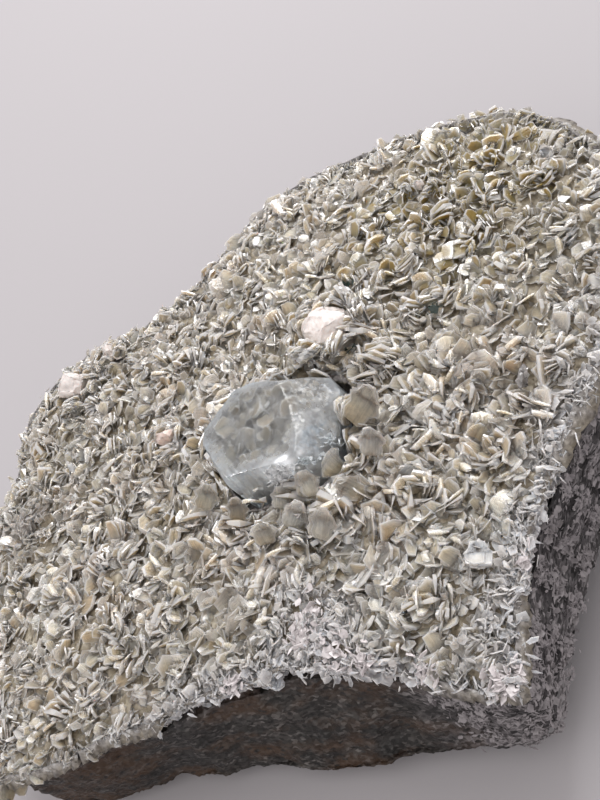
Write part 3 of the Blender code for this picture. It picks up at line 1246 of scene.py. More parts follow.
@dataclass
class MicaCarpet:
    """The carpet of mica blades over the slab.

    Attributes:
        ground: the surface that the blades stand on.
        spacing: distance between neighbouring groups of blades.
        rosette: distance between the rosettes that the groups form.
        radius: smallest, commonest and largest blade radius.
        fill_spacing: distance between the plates of the filling.
        fill_radius: smallest and largest radius of those plates.
        sunk: how far below the crust's surface the lowest tips lie.
        flakes: how many spots are tried for small flakes between the blades.
        tilt: a group's tilt in a rosette's middle, what it gains towards the rim, and its spread, in degrees.
        dome: how far a rosette's middle stands over its rim, in mm.
        clearance: how close a blade may come to the aquamarine.
        pieces: how many joined pieces the carpet is split into.
        seed: seed of every random draw.
        stains: where iron has stained the mica.
        crushes: where it is crushed to white.
        bares: where it is broken away.
        coarse: where the blades are largest.
        collars: the rings of blades round the crystals.
        books: the large books that stand on their own.
        rim_width: width of the crushed band along the front rim.
        side_steps: how many places round the rim carry side plates.
        side_plates: how many plates lie above each other at each of them.
        leaves: fewest leaves of a fan, and one more than the most.
        leaf_gap: distance between the leaves of a fan at their root, in mm.
        book_gap: distance between the leaves of a large book, in mm.
        front: middle of the crushed band along the rim, half its length and where it fades, in degrees.
        batches: the blades laid so far, by shape.
    """

    ground: Ground
    spacing: float = 2.5 * MM
    rosette: float = 8.5 * MM
    radius: tuple[float, float, float] = (1.6 * MM, 2.9 * MM, 4.6 * MM)
    fill_spacing: float = 1.5 * MM
    fill_radius: tuple[float, float] = (1.4 * MM, 2.9 * MM)
    sunk: float = 1.4 * MM
    flakes: int = 12000
    tilt: tuple[float, float, float] = (18.0, 42.0, 14.0)
    dome: float = 0.9
    clearance: float = 0.1 * MM
    pieces: int = 6
    seed: int = 4
    stains: tuple[Patch, ...] = (Patch(56, 3, 12, 0.8), Patch(47, 8, 14, 0.7), Patch(36, 9, 12, 0.5),
                                 Patch(65, 2, 11, 0.5), Patch(50, -2, 6, 0.4))
    crushes: tuple[Patch, ...] = (Patch(-13, -27, 5, 0.95), Patch(-12, -34, 4, 0.8), Patch(2, -54, 6, 0.8),
                                  Patch(9, -46, 5, 0.5), Patch(61, -4, 2, 0.7))
    bares: tuple[Patch, ...] = (Patch(-38, 37, 4, 1.2), Patch(-41, 31, 3, 0.8))
    coarse: Patch = Patch(2, -14, 22, 1.0)
    collars: tuple[Collar, ...] = (
        Collar("aquamarine_crystal", (0.8, 2.6), (2.2, 4.6), 64, (1.8, 3.2)),
        Collar("feldspar_large", (0.8, 2.4), (1.4, 3.8), 34, (1.4, 2.6)),
        Collar("feldspar_back_left", (0.5, 1.5), (1.0, 3.0), 22, (1.2, 2.2)),
        Collar("feldspar_back_right", (0.3, 1.2), (0.9, 2.8), 16, (1.2, 2.0)),
        Collar("feldspar_pink", (0.5, 1.5), (0.6, 1.8), 12, (1.2, 2.2)),
        Collar("feldspar_wedge", (0.3, 1.0), (0.3, 1.2), 6, (1.0, 1.8)),
        Collar("feldspar_far", (0.3, 1.2), (0.4, 1.6), 8, (1.0, 1.8)))
    books: tuple[Book, ...] = BOOKS
    rim_width: float = 4.0 * MM
    side_steps: int = 620
    side_plates: int = 9
    leaves: tuple[int, int] = (4, 9)
    leaf_gap: float = 0.09
    book_gap: float = 0.2
    front: tuple[float, float, float] = (-88.0, 82.0, 22.0)
    batches: dict[tuple[BladeKind, int], BladeBatch] = field(default_factory=dict)

    def build(self, material: bpy.types.Material) -> list[bpy.types.Object]:
        """Scatter and join the blades.

        Args:
            material: the mica's material.

        Returns:
            The joined pieces.
        """
        self.begin()
        self.scatter_filling()
        self.scatter_groups()
        for collar in self.collars:
            self.scatter_collar(collar)
        for book in self.books:
            self.stand_book(book)
        self.scatter_side()
        self.scatter_flakes()
        return self.join(material, "mica_blades")

    def begin(self) -> None:
        """Model the blade shapes and start the random draws."""
        self.rng = np.random.default_rng(self.seed)
        self.shapes = BladeShop().models()
        self.least, self.most = (np.array(corner) for corner in CAD_BOX)
        self.rosettes = Rosettes(self.ground, self.rosette, self.rng)

    def spots(self, spacing: float) -> list[tuple[Vector, Vector]]:
        """Spread points evenly but unevenly spaced over the crust's upper surface.

        Args:
            spacing: the mean distance between neighbours.

        Returns:
            Points and normals of the surface, where no crystal stands.
        """
        low, high = self.ground.low, self.ground.high
        columns = int((high.x - low.x) / spacing)
        rows = int((high.y - low.y) / spacing)
        jitter = self.rng.uniform(0.0, 1.0, (rows, columns, 2))
        found = [self.ground.open_top(low.x + (column + jitter[row, column, 0]) * spacing,
                                      low.y + (row + jitter[row, column, 1]) * spacing)
                 for row in range(rows) for column in range(columns)]
        return [spot for spot in found if spot is not None]

    def scatter_filling(self) -> None:
        """Lay the close filling of smaller plates, leaning every way like fallen leaves."""
        for point, normal in self.spots(self.fill_spacing):
            if self.rng.random() < self.amount(self.bares, point):
                continue
            out = self.rosettes.at(point)[0]
            lean = math.radians(90.0 - min(75.0, abs(self.rng.normal(0.0, 30.0))))
            grow = self.grow_direction(normal, math.atan2(out.y, out.x) + self.rng.normal(0.0, 0.9), lean)
            radius = self.rng.uniform(*self.fill_radius) * self.size_at(point)
            tip = point - normal * self.rng.uniform(0.9, 2.3) * MM + grow * radius
            kind = BladeKind.CUPPED if self.rng.random() < 0.4 else BladeKind.PLATE
            self.add_blade(tip, grow, self.side_of(grow, self.rng.normal(0.0, 0.5)), radius, kind,
                           self.tint_at(point))

    def scatter_groups(self) -> None:
        """Stand groups of blades all over the crust's upper surface."""
        for point, normal in self.spots(self.spacing):
            self.stand_group(point, normal)

    def stand_group(self, point: Vector, normal: Vector) -> None:
        """Stand one group of blades at a point: a fan, a plate or two, a book, or a tangle of small ones.

        Args:
            point: a point of the crust's surface.
            normal: the surface's normal there.
        """
        if self.amount(self.bares, point) > 0.4:
            return
        out, share, roll, lift = self.rosettes.at(point)
        middle, gain, spread = self.tilt
        tilt = math.radians(min(82.0, max(4.0, middle + gain * share + self.rng.normal(0.0, spread))))
        grow = self.grow_direction(normal, math.atan2(out.y, out.x) + self.rng.normal(0.0, 0.35), tilt)
        side = self.side_of(grow, roll + self.rng.normal(0.0, 0.35))
        radius = self.blade_radius(point)
        rise = lift + (0.45 - 0.9 * min(1.3, share)) * self.dome * MM
        tip = point + normal * (rise - self.rng.uniform(-0.2 * MM, self.sunk))
        tint = self.tint_at(point)
        draw = self.rng.random()
        if draw < 0.5:
            self.stand_fan(tip, grow, side, radius, tint, math.radians(self.rng.uniform(6.0, 13.0)))
        elif draw < 0.8:
            self.stand_fan(tip, grow, side, radius * 0.9, tint, math.radians(self.rng.uniform(1.5, 4.0)))
        else:
            self.add_blade(tip, grow, side, radius, BladeKind.CUPPED, tint)
            lower = self.grow_direction(normal, self.rng.uniform(0.0, ROUND), tilt)
            self.add_blade(tip - normal * 0.3 * MM, lower, self.side_of(lower, 0.3), radius * 0.85,
                           BladeKind.CUPPED, tint)

    def stand_fan(self, tip: Vector, grow: Vector, side: Vector, radius: float, tint: float,
                  step: float) -> None:
        """Stand a splayed book: plates that part from one root, each a little out of line.

        Args:
            tip: the middle plate's far end.
            grow: the direction in which the middle plate grew.
            side: the axis about which the plates part.
            radius: half a plate's length.
            tint: the fan's tint.
            step: the angle between two plates.
        """
        count = int(self.rng.integers(*self.leaves))
        root = tip - grow * 2 * radius
        face = grow.cross(side).normalized()
        for number in range(count):
            place = number - (count - 1) / 2
            twist = Matrix.Rotation(self.rng.normal(0.0, 0.12), 3, face)
            turned = Matrix.Rotation(place * step, 3, side) @ (twist @ grow)
            size = radius * self.rng.uniform(0.8, 1.05)
            kind = BladeKind.CUPPED if number in (0, count - 1) else BladeKind.PLATE
            start = root + face * place * self.leaf_gap * MM + side * self.rng.normal(0.0, 0.12) * radius
            self.add_blade(start + turned * 2 * size, turned, twist @ side, size, kind, tint)

    def scatter_collar(self, collar: Collar) -> None:
        """Stand fans close round a crystal, their faces turned away from it.

        Args:
            collar: the ring to stand.
        """
        middle, reach = self.ground.ring(collar.node)
        for angle in self.rng.uniform(0.0, 2 * math.pi, collar.count):
            out = heading(angle)
            spot = middle + out * (reach[int(math.degrees(angle)) % 360] + self.rng.uniform(0.2, 1.5) * MM)
            found = self.ground.top(spot.x, spot.y)
            if found is None:
                continue
            near = 0.5 - 0.5 * out.dot(BEHIND)
            low, high = (far + (close - far) * near for far, close in zip(collar.behind, collar.before))
            radius = self.rng.uniform(*collar.radius) * MM
            lean = UP + out * self.rng.uniform(-0.1, 0.7)
            around = out.cross(UP)
            grow = (lean + around * self.rng.normal(0.0, 0.4)).normalized()
            side = (around - grow * around.dot(grow)).normalized()
            side = Matrix.Rotation(self.rng.normal(0.0, 0.5), 3, grow) @ side
            tip = Vector((spot.x, spot.y, found[0].z + self.rng.uniform(low, high) * MM))
            step = math.radians(self.rng.uniform(3.0, 9.0))
            self.stand_fan(tip, grow, side, radius, self.tint_at(spot), step)

    def stand_book(self, book: Book) -> None:
        """Stand one large book: leaves behind each other, each a little out of line."""
        spin = Matrix.Rotation(math.radians(book.turn), 3, FRONT)
        grow = spin @ RISE
        side = grow.cross(FRONT).normalized()
        grow = Matrix.Rotation(math.radians(book.lean), 3, side) @ grow
        face = side.cross(grow).normalized()
        middle = Vector((book.x, book.y, book.z)) * MM
        for leaf in range(book.leaves):
            radius = book.radius * MM * self.rng.uniform(0.86, 1.06)
            twist = Matrix.Rotation(self.rng.normal(0.0, 0.16), 3, face)
            turned = Matrix.Rotation(leaf * self.rng.uniform(0.02, 0.07), 3, side) @ (twist @ grow)
            start = middle - face * leaf * self.book_gap * MM + side * self.rng.normal(0.0, 0.2) * MM
            self.add_blade(start + turned * radius, turned, twist @ side, radius, BladeKind.DISC, book.tint)

    def scatter_side(self) -> None:
        """Cover the crust's side, all round the slab, with small broken plates."""
        for angle in np.linspace(0.0, 2 * math.pi, self.side_steps, endpoint=False):
            found = self.ground.rim(angle)
            if found is None:
                continue
            low, high = found
            out = heading(angle)
            for _ in range(self.side_plates):
                point = low.lerp(high, self.rng.uniform(0.0, 0.97)) - out * self.rng.uniform(0.0, 1.1) * MM
                normal = Vector((out.x, out.y, self.rng.uniform(-0.3, 1.0))).normalized()
                grow = self.grow_direction(normal, self.rng.uniform(0.0, ROUND),
                                           abs(self.rng.normal(0.4, 0.5)))
                kind = BladeKind.SHARD if self.rng.random() < 0.5 else BladeKind.PLATE
                self.add_blade(point, grow, self.side_of(grow, self.rng.uniform(-1.6, 1.6)),
                               self.rng.uniform(0.4, 1.2) * MM, kind, self.tint_at(point) - 0.1)

    def scatter_flakes(self) -> None:
        """Strew small broken flakes between the blades, and many where the mica is crushed."""
        low, high = self.ground.low, self.ground.high
        for _ in range(self.flakes):
            found = self.ground.open_top(self.rng.uniform(low.x, high.x), self.rng.uniform(low.y, high.y))
            if found is None:
                continue
            point, normal = found
            crush = max(self.crush_at(point), self.amount(self.bares, point))
            if self.rng.random() > 0.3 + crush:
                continue
            for _ in range(1 + int(8 * crush)):
                offset = Vector(self.rng.uniform(-0.8, 0.8, 3)) * MM
                tip = point + offset - normal * self.rng.uniform(0.0, 1.3) * MM
                lean = self.rng.uniform(0.2 + 0.7 * crush, 1.5)
                grow = self.grow_direction(normal, self.rng.uniform(0.0, ROUND), lean)
                self.add_blade(tip, grow, self.side_of(grow, self.rng.uniform(-1.6, 1.6)),
                               self.rng.uniform(0.3, 1.1) * MM, BladeKind.SHARD, self.tint_at(point) + 0.1)

    def blade_radius(self, point: Vector) -> float:
        """Draw a blade's radius at a point."""
        return float(self.rng.triangular(*self.radius)) * self.size_at(point)

    def size_at(self, point: Vector) -> float:
        """How large the blades are at a point, over their usual size: larger in the sheltered middle."""
        middle = self.coarse.at(point)
        return (0.66 + 0.4 * middle) * (1.0 - 0.6 * self.crush_at(point))

    @staticmethod
    def grow_direction(normal: Vector, azimuth: float, lean: float) -> Vector:
        """The direction that leans from a normal by an angle, towards an azimuth."""
        away = heading(azimuth)
        away = (away - normal * away.dot(normal)).normalized()
        return (normal * math.cos(lean) + away * math.sin(lean)).normalized()

    @staticmethod
    def side_of(grow: Vector, roll: float) -> Vector:
        """The direction across a blade that lies face up, turned about its length by a roll."""
        side = grow.cross(UP)
        side = side.normalized() if side.length > 1e-4 else Vector((1.0, 0.0, 0.0))
        return Matrix.Rotation(roll, 3, grow) @ side

    def add_blade(self, tip: Vector, grow: Vector, side: Vector, radius: float, kind: BladeKind,
                  tint: float, sealed: bool = False) -> None:
        """Add one blade, unless it would cut into the aquamarine or reach out of the slab's box.

        Args:
            tip: the blade's far end.
            grow: the direction in which it grew, along its face.
            side: the direction across its face.
            radius: half its length.
            kind: its shape.
            tint: its tint, before its own small difference.
            sealed: whether it may lie in the aquamarine.
        """
        face = grow.cross(side).normalized()
        centre = tip - grow * radius
        turn = np.array([grow, side, face]).T * radius
        circle = np.linspace(0.0, 2 * math.pi, 9)
        rim = np.array(centre) + np.outer(np.cos(circle), turn[:, 0]) + np.outer(np.sin(circle), turn[:, 1])
        if not sealed and self.ground.in_crystal(rim, self.clearance).any():
            return
        if (rim < self.least).any() or (rim > self.most).any():
            return
        turn[:, 1] *= self.rng.uniform(0.75, 1.1)
        turn[:, 2] *= self.rng.uniform(0.6, 1.4)
        variant = int(self.rng.integers(len(self.shapes[kind])))
        batch = self.batches.setdefault((kind, variant), BladeBatch())
        batch.frames.append(turn)
        batch.centres.append(np.array(centre))
        own = tint + self.rng.normal(0.0, 0.16)
        batch.masks.append((min(1.0, max(0.0, own)), self.amount(self.stains, tip), self.crush_at(tip)))

    def tint_at(self, point: Vector) -> float:
        """The common tint of the blades round a point, from 0, dark beige, to 1, silver."""
        return 0.6 + 0.4 * noise.noise(point / (8 * MM)) + 0.25 * noise.noise(point / (2.5 * MM))

    @staticmethod
    def amount(patches: Sequence[Patch], point: Vector) -> float:
        """How strongly some patches act on a point, unevenly, from 0 to 1."""
        patchy = 0.8 + 0.8 * noise.noise(point / (3.5 * MM))
        return min(1.0, max(0.0, sum(patch.at(point) for patch in patches) * patchy))

    def crush_at(self, point: Vector) -> float:
        """How finely the mica is crushed to white at a point: in patches and along the front rim."""
        middle, reach, fade = self.front
        angle = math.degrees(math.atan2(point.y, point.x))
        front = min(1.0, max(0.0, (reach - abs(angle - middle)) / fade))
        rim = math.exp(-((max(0.0, self.ground.from_rim(point)) / self.rim_width) ** 2))
        return max(self.amount(self.crushes, point), 0.85 * front * rim)

    def join(self, material: bpy.types.Material, name: str) -> list[bpy.types.Object]:
        """Join all blades into a few pieces.

        Args:
            material: the mica's material.
            name: the start of the pieces' names.

        Returns:
            The joined pieces.
        """
        made = []
        for index in range(self.pieces):
            parts = [self.copies(self.shapes[kind][variant], batch, index) for (kind, variant), batch in
                     sorted(self.batches.items(), key=lambda item: (item[0][0].value, item[0][1]))]
            made.append(self.mesh_of(parts, f"{name}_{index + 1}", material))
        return made

    def copies(self, shape: Archetype, batch: BladeBatch, index: int) -> tuple[np.ndarray, ...]:
        """Copy one shape to the places of every n-th blade of its batch.

        Args:
            shape: the modelled blade.
            batch: the blades of that shape.
            index: which share of the blades to copy.

        Returns:
            Points, face corners, face sizes, blade masks, edge faces and, for each point, how near it is to
            the outline, how far along the blade and how far across, of all copies.
        """
        frames = np.array(batch.frames[index::self.pieces]).reshape(-1, 3, 3)
        centres = np.array(batch.centres[index::self.pieces]).reshape(-1, 3)
        masks = np.array(batch.masks[index::self.pieces]).reshape(-1, 3)
        count = len(centres)
        points = (np.einsum("nij,vj->nvi", frames, shape.points) + centres[:, None, :]).reshape(-1, 3)
        offsets = np.repeat(np.arange(count) * len(shape.points), len(shape.corners))
        corners = np.tile(shape.corners, count) + offsets
        return (points, corners, np.tile(shape.sizes, count), np.repeat(masks, len(shape.points), axis=0),
                np.tile(shape.edge, count), np.tile(shape.rim, count),
                np.tile(0.5 + 0.5 * np.clip(shape.points[:, 0], -1.0, 1.0), count),
                np.tile(shape.points[:, 1], count))

    def mesh_of(self, parts: list[tuple[np.ndarray, ...]], name: str,
                material: bpy.types.Material) -> bpy.types.Object:
        """Make one mesh of many copies, with their masks as attributes.

        Args:
            parts: what copies() returns, for each shape.
            name: the piece's name.
            material: its material.

        Returns:
            The new object.
        """
        starts = np.cumsum([0] + [len(part[0]) for part in parts[:-1]])
        corners = np.concatenate([part[1] + start for part, start in zip(parts, starts)])
        points, sizes, masks, edge, rim, tip, across = (np.concatenate([part[item] for part in parts])
                                                        for item in (0, 2, 3, 4, 5, 6, 7))
        mesh = bpy.data.meshes.new(name)
        mesh.vertices.add(len(points))
        mesh.vertices.foreach_set("co", points.astype(np.float32).ravel())
        mesh.loops.add(len(corners))
        mesh.loops.foreach_set("vertex_index", corners.astype(np.int32))
        mesh.polygons.add(len(sizes))
        mesh.polygons.foreach_set("loop_start", np.concatenate([[0], np.cumsum(sizes)[:-1]]).astype(np.int32))
        mesh.update(calc_edges=True)
        mesh.attributes.new("sharp_face", "BOOLEAN", "FACE").data.foreach_set("value", edge > 0.5)
        ends = np.empty(len(mesh.edges) * 2, dtype=np.int32)
        mesh.edges.foreach_get("vertices", ends)
        crisp = (rim[ends.reshape(-1, 2)] > 0.5).all(axis=1)
        mesh.attributes.new("sharp_edge", "BOOLEAN", "EDGE").data.foreach_set("value", crisp)
        piece = add_object(name, mesh)
        # The depth mark carries the mica's painted shade in the carpet's depths.
        for label, values in (("tint", masks[:, 0]), ("stain", masks[:, 1]), ("crush", masks[:, 2]),
                              ("depth", self.ground.depth(points)), ("edge", rim), ("tip", tip),
                              ("across", across)):
            mark(piece, label, values)
        dress(piece, material)
        LOG.info("%s holds %d triangles", name, int((sizes - 2).sum()))
        return piece


# ------------------------------------------------------------------------------ bed, rock and crystals


@dataclass
class MicaBed:
    """The felted mica under the blades, which closes the gaps between them.

    Attributes:
        drop: how far it lies below the blades' tips.
        inset: how far its side lies inside the crust's.
        voxel: the size of its faces.
        layers: its unevenness.
    """

    drop: float = 1.0 * MM
    inset: float = 0.95 * MM
    voxel: float = 0.85 * MM
    layers: tuple[ReliefLayer, ...] = (
        ReliefLayer(Relief.LUMPY, 5.0 * MM, 0.8 * MM), ReliefLayer(Relief.STEPPED, 1.6 * MM, 0.7 * MM))

    def build(self, material: bpy.types.Material) -> bpy.types.Object:
        """Sink a fine copy of the crust under the blades' tips.

        Args:
            material: the felted mica's material.

        Returns:
            The bed.
        """
        piece = refined("mica_crust", "mica_bed", self.voxel)
        points, normals = read_points(piece)
        reach = np.hypot(points[:, 0], points[:, 1])
        upper = normals[:, 2] > 0.3
        side = ~upper & (normals[:, 2] > -0.5) & (reach > 35 * MM)
        points[upper, 2] -= self.drop
        points[side, :2] *= (1.0 - self.inset / reach[side])[:, None]
        write_points(piece, points)
        mark(piece, "side", np.clip((0.75 - normals[:, 2]) / 0.4, 0.0, 1.0))
        roughen(piece, self.layers)
        dress(piece, material)
        return piece


@dataclass
class GraniteBlock:
    """The granite that carries the mica: broken rough on its sides and flat underneath.

    Attributes:
        middle: direction, in degrees, of the side that is crushed grey.
        turned: how far to either hand of that it reaches, in degrees.
        fade: over how many degrees it dies out there.
        level: above this height the rock is crushed grey all round.
        rise: over which height that comes in.
        voxel: the size of its faces.
        layers: its unevenness.
    """

    middle: float = -32.0
    turned: float = 76.0
    fade: float = 12.0
    level: float = 17.0 * MM
    rise: float = 3.0 * MM
    voxel: float = 0.75 * MM
    layers: tuple[ReliefLayer, ...] = (
        ReliefLayer(Relief.LUMPY, 7.0 * MM, 0.9 * MM), ReliefLayer(Relief.STEPPED, 3.2 * MM, 0.8 * MM),
        ReliefLayer(Relief.GRAINY, 1.5 * MM, 0.5 * MM))

    def build(self, material: bpy.types.Material) -> bpy.types.Object:
        """Roughen a fine copy of the rock.

        Args:
            material: the granite's material.

        Returns:
            The rock.
        """
        piece = refined("matrix_rock", "granite_rock", self.voxel)
        roughen(piece, self.layers, floor=0.2 * MM)
        points, _ = read_points(piece)
        angle = np.degrees(np.arctan2(points[:, 1], points[:, 0]))
        right = np.clip((self.turned - np.abs(angle - self.middle)) / self.fade, 0.0, 1.0)
        under = np.clip((points[:, 2] - self.level) / self.rise, 0.0, 0.7)
        mark(piece, "crushed", np.maximum(right, under))
        dress(piece, material)
        return piece


@dataclass
class LumpGrower:
    """Makes the small crystals that grow through the mica.

    Attributes:
        voxel: the size of their faces.
        layers: their unevenness.
    """

    voxel: float = 0.3 * MM
    layers: tuple[ReliefLayer, ...] = (
        ReliefLayer(Relief.LUMPY, 3.6 * MM, 0.9 * MM), ReliefLayer(Relief.STEPPED, 2.6 * MM, 0.9 * MM),
        ReliefLayer(Relief.GRAINY, 0.8 * MM, 0.16 * MM))

    def build(self, lump: Lump, material: bpy.types.Material) -> bpy.types.Object:
        """Roughen a fine copy of one small crystal.

        Args:
            lump: which crystal.
            material: its material.

        Returns:
            The crystal.
        """
        piece = refined(lump.value, lump.value + "_grown", self.voxel)
        roughen(piece, self.layers)
        dress(piece, material)
        return piece


@dataclass
class Aquamarine:
    """The clear crystal and what is sealed in it.

    Attributes:
        ground: the surface round it.
        voxel: the size of its faces.
        rounding: how often its edges are smoothed.
        layers: how its faces are etched.
        frosts: where it is etched dull.
        snows: where fractures turn it white.
        streaks: middle of the striated spur and its reach.
        across: the direction across the spur's striations.
        groove: half the depth of a striation, and its width over 2 pi.
        haze: how dull the rest of it is, and how far that strays.
        rim_frost: how dull the band along its sides is.
        rim_width: width of the dull band along its sides.
        sealed: how many mica plates are sealed in its foot.
    """

    ground: Ground
    voxel: float = 0.26 * MM
    rounding: int = 6
    layers: tuple[ReliefLayer, ...] = (
        ReliefLayer(Relief.LUMPY, 5.0 * MM, 0.5 * MM), ReliefLayer(Relief.STEPPED, 3.0 * MM, 0.25 * MM))
    frosts: tuple[Patch, ...] = (
        Patch(7.0, -12.6, 2.8, 0.95), Patch(11.5, -8.5, 2.4, 0.6), Patch(13.2, -4.5, 2.4, 0.5),
        Patch(8.5, -6.6, 1.1, 0.3), Patch(7.2, -9.8, 1.1, 0.4), Patch(5.5, -11.2, 1.2, 0.5))
    snows: tuple[Patch, ...] = (Patch(-0.6, -11.7, 1.4, 1.0), Patch(0.9, -12.4, 1.1, 0.8),
                                Patch(-2.3, -10.6, 1.1, 0.6), Patch(3.2, -13.4, 0.9, 0.5))
    streaks: Patch = Patch(-6.0, -6.8, 2.8, 1.0)
    across: Vector = field(default_factory=lambda: Vector((0.99, -0.10, -0.12)))
    groove: tuple[float, float] = (0.13 * MM, 0.16 * MM)
    haze: tuple[float, float] = (0.12, 0.25)
    rim_frost: float = 0.62
    rim_width: float = 2.3 * MM
    sealed: int = 700

    def build(self, material: bpy.types.Material) -> bpy.types.Object:
        """Grow the clear body.

        Args:
            material: the beryl's material.

        Returns:
            The body.
        """
        piece = refined("aquamarine_crystal", "aquamarine_body", self.voxel)
        apply_modifier(piece, "SMOOTH", factor=0.5, iterations=self.rounding)
        roughen(piece, self.layers)
        points, normals = read_points(piece)
        steep = np.abs(self.ground.hull_normals[:, 2]) < 0.5
        sides, reach = self.ground.hull_normals[steep], self.ground.hull_reach[steep]
        (depth, width), (haze, strays) = self.groove, self.haze
        frost, snow, grooves = [], [], []
        for point, normal in zip(points, normals):
            spot = Vector(point)
            streaky = self.streaks.at(spot)
            grooves.append(depth * streaky * (math.sin(spot.dot(self.across) / width) - 1.0))
            patchy = 0.75 + 0.9 * noise.noise(spot / (1.6 * MM))
            veil = haze + strays * noise.noise(spot / (2.6 * MM) + Vector((3.1, 0.0, 0.0)))
            inward = max(0.0, float((reach - sides @ point).min())) / self.rim_width
            band = self.rim_frost * math.exp(-inward ** 2) * (0.7 + 0.5 * patchy)
            own = sum(patch.at(spot) for patch in self.frosts) * patchy
            frost.append(min(1.0, max(0.0, veil, band, own)))
            snow.append(min(1.0, sum(patch.at(spot) for patch in self.snows) * patchy ** 2))
        write_points(piece, points + normals * np.array(grooves)[:, None])
        mark(piece, "frost", frost)
        mark(piece, "snow", snow)
        dress(piece, material)
        piece.visible_shadow = False
        return piece

    def seal(self, material: bpy.types.Material) -> bpy.types.Object:
        """Seal mica plates in the crystal's foot, where it grew over them.

        Args:
            material: the mica's material.

        Returns:
            The plates, in one piece.
        """
        carpet = MicaCarpet(self.ground, seed=11, pieces=1)
        carpet.begin()
        low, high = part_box("aquamarine_crystal")
        level = high.z - self.ground.rise
        for _ in range(self.sealed):
            radius = carpet.rng.uniform(0.9, 2.6) * MM
            spot = Vector((carpet.rng.uniform(low.x, high.x), carpet.rng.uniform(low.y, high.y),
                           level + carpet.rng.uniform(-2.2, 1.6) * MM))
            if not self.ground.in_crystal(np.array([spot]), -0.8 * radius - 0.3 * MM)[0]:
                continue
            grow = carpet.grow_direction(UP, carpet.rng.uniform(0.0, ROUND), carpet.rng.uniform(0.9, 1.5))
            side = carpet.side_of(grow, carpet.rng.normal(0.0, 0.4))
            carpet.add_blade(spot + grow * radius, grow, side, radius, BladeKind.CUPPED, 0.4, sealed=True)
        return carpet.join(material, "mica_in_aquamarine")[0]


@dataclass(frozen=True)
class Crumbs:
    """A heap of small chips: broken beryl, or grains of another mineral.

    Attributes:
        name: the piece's name.
        spots: middles and half-widths of the heaps, in mm.
        count: how many chips lie in each.
        radius: smallest and largest chip radius in mm.
        node: the CAD node that they lie on.
        way: the direction from which they came to lie on it; outwards from the middle where it is zero.
        stand: how upright they stand, from 0, flat, to 1.
    """

    name: str
    spots: tuple[tuple[float, float, float, float], ...]
    count: int
    radius: tuple[float, float]
    node: str
    way: Vector
    stand: float = 1.0

    def build(self, ground: Ground, material: bpy.types.Material) -> bpy.types.Object:
        """Lay the chips on their node.

        Args:
            ground: the surface round them.
            material: the chips' material.

        Returns:
            The chips, in one piece.
        """
        carpet = MicaCarpet(ground, seed=len(self.name), pieces=1)
        carpet.begin()
        surface = ground.tree(self.node)
        for *middle, width in self.spots:
            outwards = Vector((middle[0], middle[1], 0.0)).normalized() + Vector((0.0, 0.0, 0.4))
            way = self.way if self.way.length else outwards
            for _ in range(self.count):
                about = (Vector(middle) + Vector(carpet.rng.normal(0.0, 0.5, 3)) * width) * MM
                hit, normal, _, _ = surface.ray_cast(about + way * 40 * MM, -way)
                if hit is None:
                    continue
                grow = Vector(carpet.rng.normal(0.0, 0.7, 3))
                grow = (grow - normal * grow.dot(normal) * (1.0 - self.stand)).normalized()
                radius = carpet.rng.uniform(*self.radius) * MM
                side = normal.cross(grow) + Vector(carpet.rng.normal(0.0, 0.35 + self.stand, 3))
                side = (side - grow * side.dot(grow)).normalized()
                carpet.add_blade(hit + grow * radius, grow, side, radius, BladeKind.SHARD, 0.7, sealed=True)
        return carpet.join(material, self.name)[0]


